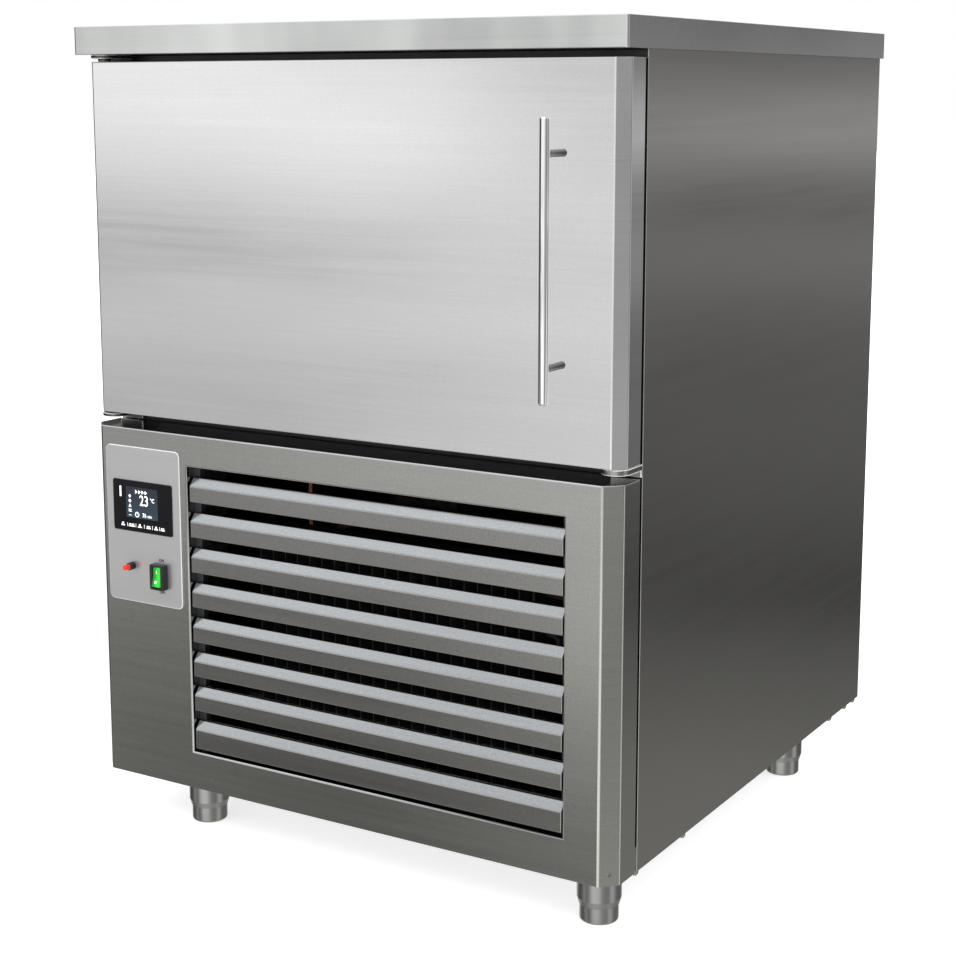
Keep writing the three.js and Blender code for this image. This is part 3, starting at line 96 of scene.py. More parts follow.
def noise(tree, vector, scale, detail=2.0, roughness=0.5):
    return addNode(tree, "ShaderNodeTexNoise",
                   {"Vector": vector, "Scale": scale, "Detail": detail, "Roughness": roughness}).outputs[0]


def remapped(tree, value, low, high, toLow=0.0, toHigh=1.0):
    return addNode(tree, "ShaderNodeMapRange", {0: value, 1: low, 2: high, 3: toLow, 4: toHigh}).outputs[0]


def ramp(tree, value, stops):
    # greys, or colours, at places between 0 and 1
    node = addNode(tree, "ShaderNodeValToRGB", {0: value})
    elements = node.color_ramp.elements
    while len(elements) < len(stops):
        elements.new(0.5)
    for element, (place, level) in zip(elements, stops):
        element.position = place
        element.color = (level, level, level, 1.0) if isinstance(level, float) else (*level, 1.0)
    return node.outputs[0]


# shared finishes

def finishGroup(name, colour, **values):
    # a shader group with coordinates, a colour and named values going in, given back with its two ends
    tree = bpy.data.node_groups.new(name, "ShaderNodeTree")
    for label, value in dict(Coordinates=(0, 0, 0), Colour=(*colour, 1), **values).items():
        kind = "Color" if label == "Colour" else "Vector" if isinstance(value, tuple) else "Float"
        socket = tree.interface.new_socket(name=label, in_out="INPUT", socket_type="NodeSocket" + kind)
        socket.default_value = value
    for label, kind in (("Colour", "Color"), ("Roughness", "Float"), ("Height", "Float")):
        tree.interface.new_socket(name=label, in_out="OUTPUT", socket_type="NodeSocket" + kind)
    return tree, tree.nodes.new("NodeGroupInput").outputs, tree.nodes.new("NodeGroupOutput").inputs


def finishEnds(tree, given, out, change, uneven, height):
    # what comes out: the colour times one plus its change, the roughness plus its unevenness, and the height
    tree.links.new(dimmed(tree, given["Colour"], maths(tree, "ADD", change, 1.0)), out["Colour"])
    tree.links.new(maths(tree, "ADD", uneven, given["Roughness"]), out["Roughness"])
    tree.links.new(height, out["Height"])
    return tree


def makeBrushedGroup():
    # long thin streaks along the grain, fine satin speckle and broad soft clouds
    tree, given, out = finishGroup("brushedFinish", (0.5, 0.5, 0.5), Grain=(4, 4, 520), CloudSize=(1.6, 1.6, 5),
                                   Streaks=0.1, Speckle=0.05, Clouds=0.1, Roughness=0.3, Spread=0.1)
    place, along = given["Coordinates"], scaled(tree, given["Coordinates"], given["Grain"])
    fine = noise(tree, along, 1.0, detail=3.0, roughness=0.6)
    broad = noise(tree, scaled(tree, along, (0.6, 0.6, 0.16)), 1.0)
    speck = noise(tree, place, 620.0, roughness=0.6)  # grains of about 1.6 mm
    cloud = noise(tree, scaled(tree, place, given["CloudSize"]), 1.0, roughness=0.45)
    streak = swing(tree, maths(tree, "ADD", fine, broad), given["Streaks"], middle=1.0)
    grain = swing(tree, speck, given["Speckle"])
    change = maths(tree, "ADD", maths(tree, "ADD", streak, grain), swing(tree, cloud, given["Clouds"]))
    uneven = swing(tree, maths(tree, "ADD", broad, cloud), given["Spread"], middle=1.0)
    height = maths(tree, "ADD", fine, maths(tree, "MULTIPLY", speck, 0.5))
    return finishEnds(tree, given, out, change, uneven, height)


def makeMouldedGroup():
    # fine moulded grain with faint scuffs of about 36 mm
    tree, given, out = finishGroup("mouldedFinish", (0.05, 0.05, 0.05), Scale=1500.0, Mottle=0.2, Roughness=0.5,
                                   Spread=0.15)
    cloud = noise(tree, given["Coordinates"], 28.0, detail=3.0)
    return finishEnds(tree, given, out, swing(tree, cloud, given["Mottle"]), swing(tree, cloud, given["Spread"]),
                      noise(tree, given["Coordinates"], given["Scale"]))


def makeSpangleGroup():
    # crystal facets of hot-dip zinc
    tree, given, out = finishGroup("zincSpangle", (0.5, 0.5, 0.5), Scale=70.0, Contrast=0.25, Roughness=0.42,
                                   Spread=0.18)
    cell = addNode(tree, "ShaderNodeTexVoronoi", {"Vector": given["Coordinates"], "Scale": given["Scale"]})
    level = addNode(tree, "ShaderNodeSeparateColor", {0: cell.outputs["Color"]}).outputs[0]
    return finishEnds(tree, given, out, swing(tree, level, given["Contrast"]),
                      maths(tree, "MULTIPLY", level, given["Spread"]), noise(tree, given["Coordinates"], 400.0))


def makeMaterial(name, group, values, metallic=1.0, bump=0.1, depth=0.05 * mm, **constants):
    # one Principled shader fed by a shared finish; whatever is the same all over is set on the shader itself
    material = bpy.data.materials.new(name)
    material.use_nodes = True
    tree = material.node_tree
    shader = tree.nodes["Principled BSDF"]
    shader.inputs["Metallic"].default_value = metallic
    for label, value in constants.items():
        shader.inputs[label.replace("_", " ")].default_value = value
    place = addNode(tree, "ShaderNodeTexCoord").outputs["Object"]
    finish = addNode(tree, "ShaderNodeGroup", node_tree=group)
    tree.links.new(place, finish.inputs["Coordinates"])
    for label, value in values.items():
        finish.inputs[label].default_value = (*value, 1.0) if label == "Colour" else value
    tree.links.new(finish.outputs["Colour"], shader.inputs["Base Color"])
    tree.links.new(finish.outputs["Roughness"], shader.inputs["Roughness"])
    relief = addNode(tree, "ShaderNodeBump", {"Strength": bump, "Distance": depth, "Height": finish.outputs["Height"]})
    tree.links.new(relief.outputs[0], shader.inputs["Normal"])
    material.diffuse_color = (*values["Colour"], 1.0)
    return material


def lightAcross(material, axis, low, high, dark, bright):
    # a lit face whose colour runs from one side of the piece to the other
    tree = material.node_tree
    shader = tree.nodes["Principled BSDF"]
    place = addNode(tree, "ShaderNodeTexCoord").outputs["Object"]
    share = remapped(tree, addNode(tree, "ShaderNodeSeparateXYZ", {0: place}).outputs[axis], low, high)
    tree.links.new(ramp(tree, share, [(0.0, dark), (1.0, bright)]), shader.inputs["Emission Color"])
    shader.inputs["Emission Strength"].default_value = 1.0
    return material


brushed = makeBrushedGroup()
moulded = makeMouldedGroup()
spangle = makeSpangleGroup()

# colour, roughness, how strong the streaks and clouds are, and how fine the grain is along each axis where it doesn't
# run level as on the plain sheets
steels = {
    "worktop_steel": dict(Colour=(0.60, 0.61, 0.60), Roughness=0.20, Streaks=0.12, Clouds=1.0, Grain=(3, 600, 600),
                          CloudSize=(9, 1.5, 3)),
    "door_steel": dict(Colour=(0.75, 0.75, 0.75), Roughness=0.13, Streaks=0.08, Clouds=0.22, Speckle=0.16,
                       CloudSize=(2.6, 2.6, 9)),
    "panel_steel": dict(Colour=(0.48, 0.48, 0.46), Roughness=0.15, Streaks=0.12, Clouds=0.12, Speckle=0.30),
    "side_steel": dict(Colour=(0.475, 0.465, 0.445), Roughness=0.17, Streaks=0.07, Clouds=0.12, Speckle=0.20),
    "blade_steel": dict(Colour=(0.37, 0.365, 0.355), Roughness=0.17, Streaks=0.08, Clouds=0.06, Speckle=0.5,
                        Grain=(4, 500, 500)),
    "fascia_steel": dict(Colour=(0.66, 0.66, 0.66), Roughness=0.32, Streaks=0.04, Clouds=0.06, Speckle=0.05,
                         Grain=(4, 4, 700)),
    "liner_steel": dict(Colour=(0.66, 0.66, 0.65), Roughness=0.3, Streaks=0.08, Clouds=0.1),
    "rack_steel": dict(Colour=(0.62, 0.62, 0.61), Roughness=0.28, Streaks=0.06, Clouds=0.06, Grain=(400, 4, 400)),
    "foot_steel": dict(Colour=(0.35, 0.35, 0.35), Roughness=0.3, Streaks=0.08, Clouds=0.06, Grain=(300, 300, 8)),
    "bracket_steel": dict(Colour=(0.36, 0.36, 0.35), Roughness=0.3, Streaks=0.06, Clouds=0.08, Grain=(5, 300, 300)),
    "handle_chrome": dict(Colour=(0.90, 0.90, 0.90), Roughness=0.045, Streaks=0.02, Clouds=0.02, Speckle=0.01,
                          Grain=(300, 300, 10), Spread=0.02),
    # a dark copy of the handle chrome for the posts: painted shade
    "post_painted_shade": dict(Colour=(0.20, 0.20, 0.20), Roughness=0.12, Streaks=0.04, Clouds=0.04, Grain=(300, 10, 300)),
    "fin_aluminium": dict(Colour=(0.66, 0.67, 0.68), Roughness=0.35, Streaks=0.08, Clouds=0.1, Grain=(300, 300, 10)),
    "copper_tube": dict(Colour=(0.50, 0.22, 0.13), Roughness=0.3, Streaks=0.12, Clouds=0.4, Grain=(60, 60, 60),
                        CloudSize=(14, 14, 14)),
    # a light copy of the steel for the rounded folds: a painted highlight along each fold
    "painted_highlight_fold": dict(Colour=(0.97, 0.97, 0.96), Roughness=0.34, Streaks=0.04, Clouds=0.04, Speckle=0.04,
                      Grain=(30, 30, 30)),
    # a dark copy of the bracket steel: painted shade for the hinge brackets where the door shades them
    "shaded_bracket": dict(Colour=(0.13, 0.13, 0.125), Roughness=0.35, Streaks=0.08, Clouds=0.2, Grain=(5, 300, 300)),
    # dark copies of the copper and fin finishes for the pieces behind the louvre: dust, and painted shade
    "dusty_shade_copper": dict(Colour=(0.13, 0.065, 0.045), Roughness=0.5, Streaks=0.12, Clouds=0.6, Grain=(60, 60, 60)),
    "dusty_shade_coil": dict(Colour=(0.06, 0.062, 0.065), Roughness=0.55, Streaks=0.10, Clouds=0.5, Grain=(300, 300, 10)),
}
plastics = {  # colour, roughness and grain of the moulded, painted and foamed pieces
    "black_paint": dict(Colour=(0.018, 0.019, 0.021), Roughness=0.42, Scale=900.0),
    "insulation_foam": dict(Colour=(0.72, 0.60, 0.36), Roughness=0.9, Scale=300.0, Mottle=0.35),
    "black_plastic": dict(Colour=(0.02, 0.02, 0.022), Roughness=0.30, Scale=1600.0),
    "display_gloss": dict(Colour=(0.004, 0.004, 0.005), Roughness=0.10, Scale=60.0, Mottle=0.1, Spread=0.03),
    "green_key": dict(Colour=(0.004, 0.10, 0.006), Roughness=0.22, Scale=300.0, Mottle=0.25),
    "red_cap": dict(Colour=(0.78, 0.03, 0.012), Roughness=0.15, Scale=500.0, Mottle=0.2),
    "gasket_rubber": dict(Colour=(0.045, 0.046, 0.048), Roughness=0.62, Scale=1200.0, Mottle=0.3),
    "display_screen": dict(Colour=(0.01, 0.012, 0.016), Roughness=0.12, Scale=60.0, Mottle=0.1, Spread=0.03),
    "print_black": dict(Colour=(0.02, 0.02, 0.02), Roughness=0.5, Scale=900.0),
    "print_white": dict(Colour=(0.9, 0.9, 0.9), Roughness=0.5, Scale=900.0),
}
# what differs from plain metal or plastic: how metallic, how strong the bump, how much a piece glows of its own
# colour, and how much of the usual gloss is left
metalShare = {"fascia_steel": 0.85, "dusty_shade_copper": 0.7, "painted_highlight_fold": 0.45, "dusty_shade_coil": 0.6}
bumps = {"handle_chrome": 0.02, "display_gloss": 0.0, "display_screen": 0.0}
# the red cap's glow is painted light: the cap is no lamp
glow = {"print_white": 0.75, "red_cap": 0.12}
gloss = {"display_gloss": 0.22, "display_screen": 0.3, "black_plastic": 0.3}
finishes = {}
for slot, values in steels.items():
    metallic = metalShare.get(slot, 1.0)
    finishes[slot] = makeMaterial(slot, brushed, values, metallic=metallic, bump=bumps.get(slot, 0.12))
for slot, values in plastics.items():
    constants = {}
    if slot in glow:
        constants.update(Emission_Color=(*values["Colour"], 1.0), Emission_Strength=glow[slot])
    if slot in gloss:
        constants["Specular_IOR_Level"] = gloss[slot]
    finishes[slot] = makeMaterial(slot, moulded, values, metallic=0.0, bump=bumps.get(slot, 0.2), **constants)
finishes["galvanised_sheet"] = makeMaterial("galvanised_sheet", spangle, dict(Colour=(0.5, 0.52, 0.53), Scale=140.0))
print("finishes made")


# mesh helpers

def gridFaces(rows, columns, closedRows=False, closedColumns=False):
    # quads between neighbours of a rows by columns grid of points, joined round where it is closed
    down = np.arange(rows if closedRows else rows - 1)
    across = np.arange(columns if closedColumns else columns - 1)
    i, j = np.meshgrid(down, across, indexing="ij")
    nextRow, nextColumn = (i + 1) % rows, (j + 1) % columns
    return np.stack([i * columns + j, i * columns + nextColumn, nextRow * columns + nextColumn,
                     nextRow * columns + j], axis=-1).reshape(-1, 4)


def addObject(name, data):
    added = bpy.data.objects.new(name, data)
    bpy.context.scene.collection.objects.link(added)
    return added


def corners(node):
    # a node's lowest and highest corner as arrays
    return (np.array(corner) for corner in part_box(node))


def caps(count, total):
    # the two end faces of a tube of rings, from the points of one ring and of all
    return [range(count), range(total - 1, total - count - 1, -1)]


def makePiece(name, points, faces, body, slot, material=None, replaced=(), smooth=True, sharp=35.0):
    # a mesh object that rides on a body; its normals point outwards and edges sharper than the limit stay crisp
    mesh = bpy.data.meshes.new(name)
    mesh.from_pydata([tuple(point) for point in points], [], [tuple(face) for face in faces])
    bm = bmesh.new()
    bm.from_mesh(mesh)
    bmesh.ops.remove_doubles(bm, verts=bm.verts, dist=1e-7)
    bmesh.ops.recalc_face_normals(bm, faces=bm.faces)
    finishEdges(bm, sharp)
    bm.to_mesh(mesh)
    bm.free()
    piece = addObject(name, mesh)
    mesh.materials.append(material or finishes[slot])
    mesh.polygons.foreach_set("use_smooth", np.full(len(mesh.polygons), smooth))
    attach(piece, body)
    if replaced:
        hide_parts(*replaced)
    return piece


def finishEdges(bm, sharp):
    # edges between two faces are smooth up to a limit in degrees
    for edge in bm.edges:
        edge.smooth = len(edge.link_faces) == 2 and edge.calc_face_angle(0.0) < radians(sharp)


def weighted(piece):
    # normals that follow the large faces, so flat sheets look flat up to their folds
    modifier = piece.modifiers.new("flatFaces", "WEIGHTED_NORMAL")
    modifier.keep_sharp = True
    modifier.weight = 100
    return piece


def widthBeside(face, edge):
    # how wide a face is beside one of its edges: from the edge's middle straight across to the nearest other edge
    loop = next(loop for loop in face.loops if loop.edge == edge)
    along = (loop.link_loop_next.vert.co - loop.vert.co).normalized()
    inward = face.normal.cross(along)
    middle = (edge.verts[0].co + edge.verts[1].co) / 2
    width = 1.0
    for other in face.edges:
        (a, p), (b, q) = (((v.co - middle).dot(along), (v.co - middle).dot(inward)) for v in other.verts)
        if other != edge and (a > 0) != (b > 0):
            across = p + (q - p) * a / (a - b)
            if across > 1e-6:
                width = min(width, across)
    return width


foldValues = dict(steps=3, flat=0.6, sharp=35.0, narrow=2.2 * mm, share=0.4)  # flat and sharp are in degrees


def foldedCopy(node, fold, rim=0.25 * mm, foldHighlight=None, finish=None):
    # the solid's own mesh with its folds rounded to one radius and its cut rims just broken
    name = node + "_sheet"
    mesh = frame["nodes"][node].data.copy()
    mesh.name = name
    bm = bmesh.new()
    bm.from_mesh(mesh)
    bmesh.ops.remove_doubles(bm, verts=bm.verts, dist=1e-6)
    bmesh.ops.dissolve_limit(bm, angle_limit=radians(foldValues["flat"]), verts=bm.verts, edges=bm.edges)
    weight = bm.edges.layers.float.new("bevel_weight_edge")
    finishEdges(bm, foldValues["sharp"])
    for edge in bm.edges:
        if edge.smooth or len(edge.link_faces) != 2 or not edge.is_convex:
            continue
        width = min(widthBeside(face, edge) for face in edge.link_faces)
        radius = min(fold, width * foldValues["share"]) if width > foldValues["narrow"] else rim
        edge[weight] = min(1.0, max(rim, radius) / fold)
    bm.to_mesh(mesh)
    bm.free()
    mesh.materials.clear()
    mesh.materials.append(finishes[finish or slotOf[node]])
    mesh.polygons.foreach_set("use_smooth", np.ones(len(mesh.polygons), dtype=bool))
    piece = addObject(name, mesh)
    bevel = piece.modifiers.new("folds", "BEVEL")
    bevel.limit_method = "WEIGHT"
    bevel.width = fold
    bevel.segments = foldValues["steps"]
    bevel.use_clamp_overlap = False
    bevel.loop_slide = False  # even widths, also where flat faces are split
    # folds given the light finish carry a painted highlight along them
    if foldHighlight:
        mesh.materials.append(finishes[foldHighlight])
        bevel.material = 1
    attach(piece, bodyOf[node])
    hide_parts(node)
    return weighted(piece)


# camera, light and floor

# in metres, degrees and, for the lens and the sensor, millimetres
cameraValues = dict(place=(1.33205, -2.23677, 0.99589), pitch=80.5, yaw=31.28, lens=69.72, sensor=36.0, shift=-0.08)


def makeCamera(values):
    data = bpy.data.cameras.new("camera")
    data.lens = values["lens"]
    data.sensor_width = values["sensor"]
    data.sensor_fit = "HORIZONTAL"
    data.shift_y = values["shift"]
    camera = addObject("camera", data)
    camera.location = values["place"]
    camera.rotation_euler = (radians(values["pitch"]), 0.0, radians(values["yaw"]))
    bpy.context.scene.camera = camera


worldValues = dict(
    diffuse=0.85,  # what lights the matt surfaces
    wave=0.022, waveSize=(2.2, 2.2, 9.0),  # how far the light and dark bands waver
    smear=0.32, smearSize=(6.0, 6.0, 34.0),  # how uneven they are
    tint=[(0.37, (1.0, 1.0, 0.95)), (0.44, (1.0, 1.0, 1.0)), (0.53, (1.0, 1.0, 1.0)), (0.70, (0.94, 1.0, 1.06))])

wallFoot, wallTop = [(-60, 0.8), (-36, 0.4)], [(12, 1.0), (50, 1.20), (70, 1.7)]  # of the three columns in front
studioColumns = {  # brightness of the mirrored hall at heights in degrees over the horizon
    "frontLeft": [*wallFoot, (-29, 0.08), (-24, 0.14), (-21, 0.20), (-18, 0.25), (-15, 0.31), (-12.5, 0.42),
                  (-10.5, 0.58), (-9, 0.52), (-7.5, 0.80), (-6, 0.66), (-4.8, 0.36), (-3.5, 0.80), (-2.2, 0.84),
                  (-0.8, 1.20), (1, 1.10), (3, 1.0), *wallTop],
    "frontMiddle": [*wallFoot, (-29, 0.07), (-24, 0.09), (-21, 0.16), (-18, 0.24), (-15, 0.36), (-12.8, 0.60),
                    (-11.5, 0.84), (-10, 0.62), (-8.6, 0.64), (-7.4, 1.20), (-6.1, 0.36), (-4.8, 0.84), (-3.5, 0.84),
                    (-2.2, 0.96), (-0.8, 1.30), (0.8, 0.90), (3, 1.0), *wallTop],
    "frontRight": [*wallFoot, (-29, 0.18), (-24, 0.26), (-22, 0.32), (-20, 0.44), (-18, 0.60), (-16, 0.96),
                   (-14.5, 0.54), (-12.5, 1.0), (-11, 0.68), (-9.5, 0.78), (-8.3, 0.80), (-7, 1.10), (-6, 0.60),
                   (-4.8, 0.88), (-3, 0.92), (-1, 0.86), (0.5, 0.55), (3, 1.1), *wallTop],
    "frontCentre": [(-60, 0.8), (-34, 0.8), (-26, 1.3), (-18, 1.6), (-13, 1.15), (-8, 0.88), (-3, 1.04), (2, 0.90),
                    (8, 0.98), (20, 1.15), (60, 1.5)],
    "corner": [(-60, 0.6), (-30, 0.50), (-24, 0.46), (-18, 0.34), (-11, 0.44), (-5, 0.38), (10, 0.42), (60, 0.9)],
    "darkBand": [(-60, 0.5), (-24, 0.3), (-14, 0.10), (40, 0.12), (60, 0.8)],
    "rim": [(-60, 0.6), (-30, 0.9), (-20, 1.0), (-12, 0.80), (-5, 0.55), (1, 0.66), (6, 0.46), (16, 0.6), (60, 0.9)],
    "right": [(-60, 0.55), (-28, 0.27), (-24, 0.26), (-21, 0.25), (-19, 0.18), (-17, 0.17), (-15, 0.07), (-13, 0.13),
              (-11, 0.16), (-9, 0.15), (-7, 0.18), (-5, 0.33), (-3.6, 0.17), (-2.6, 0.16), (-1.6, 0.58), (-0.8, 0.56),
              (0.6, 0.24), (1.6, 0.17), (3.5, 0.15), (12, 0.3), (40, 0.8), (80, 1.1)],
    "back": [(-60, 0.7), (-20, 0.40), (-8, 0.5), (0, 0.62), (30, 0.8), (70, 1.0)],
    "backLeft": [(-60, 0.7), (-20, 0.9), (0, 1.1), (6, 0.06), (15, 0.05), (21, 0.5), (40, 0.8), (70, 1.0)],
    "darkLeft": [(-60, 0.4), (-30, 0.2), (-14, 0.06), (20, 0.10), (34, 1.2), (60, 1.7)],
    "stripLeft": [(-60, 0.5), (-30, 0.7), (-22, 0.9), (-15, 0.3), (-8, 0.08), (20, 0.1), (34, 1.3), (60, 1.7)],
}
studioTurns = [  # where one column gives way to the next, in degrees to the right of straight in front
    ("back", -180, -180), ("backLeft", -166, -156), ("darkLeft", -120, -104), ("stripLeft", -66, -60),
    ("frontLeft", -52, -46), ("frontMiddle", -40, -34.5), ("frontRight", -33.5, -28), ("frontCentre", -20, -13),
    ("corner", 28, 42), ("darkBand", 68, 71), ("rim", 80, 88), ("right", 108, 118), ("darkBand", 167, 170),
    ("back", 177, 180),
]


def makeWorld(values):
    # what the steel mirrors: a light wall in front that darkens towards the floor, a dim hall to the right and behind
    world = bpy.data.worlds.new("studio")
    bpy.context.scene.world = world
    world.use_nodes = True
    tree = world.node_tree
    tree.nodes.clear()
    direction = addNode(tree, "ShaderNodeTexCoord").outputs["Generated"]
    x, y, z = addNode(tree, "ShaderNodeSeparateXYZ", {0: direction}).outputs
    height = remapped(tree, maths(tree, "ARCSINE", z), -pi / 2, pi / 2)
    turn = maths(tree, "ARCTAN2", x, maths(tree, "MULTIPLY", y, -1.0))  # 0 in front, a quarter turn to the right
    turn = remapped(tree, turn, -pi, pi)
    wave = noise(tree, scaled(tree, direction, values["waveSize"]), 1.0)
    height = maths(tree, "ADD", height, swing(tree, wave, values["wave"]))
    seen = None
    for name, start, end in studioTurns:
        column = ramp(tree, height, [((degrees + 90.0) / 180.0, level) for degrees, level in studioColumns[name]])
        if seen is None:
            seen = column
        else:
            seen = mixed(tree, remapped(tree, turn, (start + 180.0) / 360.0, (end + 180.0) / 360.0), seen, column)
    smear = noise(tree, scaled(tree, direction, values["smearSize"]), 1.0, detail=3.0)
    seen = dimmed(tree, seen, maths(tree, "ADD", swing(tree, smear, values["smear"]), 1.0))
    seen = scaled(tree, seen, ramp(tree, height, values["tint"]))
    path = addNode(tree, "ShaderNodeLightPath").outputs
    seen = mixed(tree, path["Is Diffuse Ray"], seen, (*(values["diffuse"],) * 3, 1.0))
    seen = mixed(tree, path["Is Camera Ray"], seen, (1.0, 1.0, 1.0, 1.0))
    shader = addNode(tree, "ShaderNodeBackground", {"Color": seen, "Strength": 1.0})
    tree.links.new(shader.outputs[0], addNode(tree, "ShaderNodeOutputWorld").inputs[0])


floorValues = dict(rings=(0.001, 0.5, 1.0, 2.0, 4.0, 30.0), spokes=96, colour=(0.86, 0.86, 0.86), roughness=0.9,
                   glow=(0.62, 1.0), fade=(0.5, 3.0))


def makeFloor(values):
    # a pale round floor, rings of (r cos a, r sin a, 0), that brightens outwards until it meets the white surround
    radius = np.array(values["rings"])[:, None]
    angle = np.linspace(0.0, 2 * pi, values["spokes"], endpoint=False)[None, :]
    points = np.stack([radius * np.cos(angle), radius * np.sin(angle), np.zeros_like(radius * angle)], axis=-1)
    faces = gridFaces(len(radius), values["spokes"], closedColumns=True)
    mesh = bpy.data.meshes.new("floor")
    mesh.from_pydata([tuple(point) for point in points.reshape(-1, 3)], [], [tuple(face) for face in faces])
    floor = addObject("floor", mesh)
    material = bpy.data.materials.new("floorPaper")
    material.use_nodes = True
    tree = material.node_tree
    shader = tree.nodes["Principled BSDF"]
    shader.inputs["Roughness"].default_value = values["roughness"]
    shader.inputs["Specular IOR Level"].default_value = 0.0
    shader.inputs["Base Color"].default_value = (*values["colour"], 1.0)
    place = addNode(tree, "ShaderNodeTexCoord").outputs["Object"]
    away = addNode(tree, "ShaderNodeVectorMath", {0: place}, operation="LENGTH").outputs["Value"]
    shader.inputs["Emission Color"].default_value = (1.0, 1.0, 1.0, 1.0)
    tree.links.new(remapped(tree, away, *values["fade"], *values["glow"]), shader.inputs["Emission Strength"])
    mesh.materials.append(material)
    floor.visible_glossy = False


lamps = {  # place, aim, size and power
    "keyLamp": ((-1.6, -2.6, 2.9), (0, 0, 0.5), (2.0, 1.6), 38.0),
    "fillLamp": ((2.6, 0.4, 2.2), (0, 0, 0.4), (1.8, 1.8), 14.0),
    "topLamp": ((0.2, 0.3, 3.4), (0, 0, 0), (2.4, 2.4), 14.0),
}


def makeLamp(name, place, aim, size, power):
    # a soft rectangle of light that lights the steel but isn't mirrored in it
    data = bpy.data.lights.new(name, "AREA")
    data.shape = "RECTANGLE"
    data.size, data.size_y = size
    data.energy = power
    lamp = addObject(name, data)
    x, y, z = np.array(aim, dtype=float) - np.array(place, dtype=float)
    lamp.rotation_euler = (np.arctan2(np.hypot(x, y), -z), 0.0, np.arctan2(-x, y))
    lamp.location = place
    lamp.visible_glossy = False


makeCamera(cameraValues)
makeWorld(worldValues)
makeFloor(floorValues)
for name, values in lamps.items():
    makeLamp(name, *values)
bpy.context.scene.view_settings.view_transform = "Standard"
print("stage made")


# folded sheet work, from the solids

dustAndShade = {  # pieces behind the louvre, dulled by dust and darkened with painted shade, and the hinge brackets darkened with painted shade where the door shades them
    "hinge_bracket_bottom": "shaded_bracket", "hinge_bracket_top": "shaded_bracket",
    "condenser_coil": "dusty_shade_coil", "louvre_frame": "dusty_shade_coil", "condenser_shroud": "dusty_shade_coil",
    "liquid_pipe": "dusty_shade_copper", "discharge_pipe": "dusty_shade_copper", "suction_pipe": "dusty_shade_copper",
}
sheetWork = {  # fold radius, how far cut rims are broken, in millimetres, and the light finish that paints a highlight on the folds
    ("door_skin",): (1.3, 0.3, None),
    ("front_panel",): (2.0, 0.12, None),
    ("side_panel_left", "side_panel_right"): (0.6, 0.12, None),
    ("worktop",): (1.8, 0.3, None),
    ("control_fascia",): (0.9, 0.9, "painted_highlight_fold"),
    ("hinge_bracket_top", "hinge_bracket_bottom", "door_rest_bracket"): (1.0, 0.6, "painted_highlight_fold"),
    tuple("louvre_blade_%d" % (i + 1) for i in range(8)): (1.2, 0.35, None),
    ("rack_left", "rack_right", "fan_panel", "chamber_deck", "base_tray", "louvre_frame", "rear_panel",
     "control_box", "condenser_shroud", "door_liner", "chamber_liner", "front_frame"): (0.8, 0.25, None),
}
for nodes, (fold, rim, foldHighlight) in sheetWork.items():
    for node in nodes:
        foldedCopy(node, fold * mm, rim * mm, foldHighlight, dustAndShade.get(node))
print("sheet work made")


# turned pieces

def revolved(profile, centre, axis, segments):
    # each profile point (radius r, distance d along the axis) goes round the axis:
    # centre + axis * d + r * (first * cos a + second * sin a); a radius of 0 becomes one closed pole
    axis = np.array(axis, dtype=float)
    axis /= np.linalg.norm(axis)
    first = np.cross(axis, [0.31, 0.53, 0.79])  # a direction that no axis here has
    first /= np.linalg.norm(first)
    second = np.cross(axis, first)
    angle = np.linspace(0.0, 2 * pi, segments, endpoint=False)[None, :, None]
    radius, along = (column[:, None, None] for column in np.array(profile, dtype=float).T)
    points = np.array(centre, dtype=float) + axis * along + radius * (first * np.cos(angle) + second * np.sin(angle))
    return points.reshape(-1, 3), gridFaces(len(profile), segments, closedColumns=True)


def quarter(centreRadius, centreAlong, radius, start, end, steps=4):
    # points of an arc in a turned profile, from one angle to another
    angle = np.radians(np.linspace(start, end, steps + 1))
    return [(centreRadius + radius * cos(a), centreAlong + radius * sin(a)) for a in angle]


def turnedPiece(name, profile, centre, axis, body, slot, replaced=(), segments=48, sharp=35.0, material=None):
    points, faces = revolved(profile, centre, axis, segments)
    return makePiece(name, points, faces, body, slot, replaced=replaced, sharp=sharp, material=material)


handleValues = dict(endRound=3.2 * mm, postInsert=1.6 * mm, collar=0.25 * mm, collarStart=2.2 * mm,
                    collarFull=1.5 * mm, postPlay=0.02 * mm)


def makeHandle(values):
    low, high = corners("handle_bar")
    middle = (low + high) / 2
    radius, length, end = (high[0] - low[0]) / 2, high[2] - low[2], values["endRound"]
    profile = [(0.0, 0.0), *quarter(radius - end, end, end, -90, 0), *quarter(radius - end, length - end, end, 0, 90),
               (0.0, length)]
    pieces = [turnedPiece("handle_tube", profile, (middle[0], middle[1], low[2]), (0, 0, 1), "door", "handle_chrome",
                          ["handle_bar"])]
    for node in ("handle_post_top", "handle_post_bottom"):
        low, high = corners(node)
        radius, back, play = (high[2] - low[2]) / 2, high[1], -values["postPlay"]
        tip, wide = middle[1] + values["postInsert"] - back, radius + values["collar"]
        profile = [(0.0, tip), (radius, tip), (radius, -values["collarStart"]), (wide, -values["collarFull"]),
                   (wide, play), (0.0, play)]
        # the posts take the dark copy of the chrome, painted shade
        pieces.append(turnedPiece(node + "_rod", profile, (middle[0], back, (low[2] + high[2]) / 2), (0, 1, 0), "door",
                                  "handle_chrome", [node], segments=32, material=finishes["post_painted_shade"]))
    for piece in pieces:
        piece.visible_glossy = False  # the satin door shows no mirror image of its handle


makeHandle(handleValues)


footValues = dict(wall=3.2 * mm, cap=3.0 * mm, taper=8.0 * mm, narrowing=2.5 * mm, edge=0.3 * mm, tread=3.0 * mm,
                  rim=0.4 * mm, shoulder=0.6 * mm)


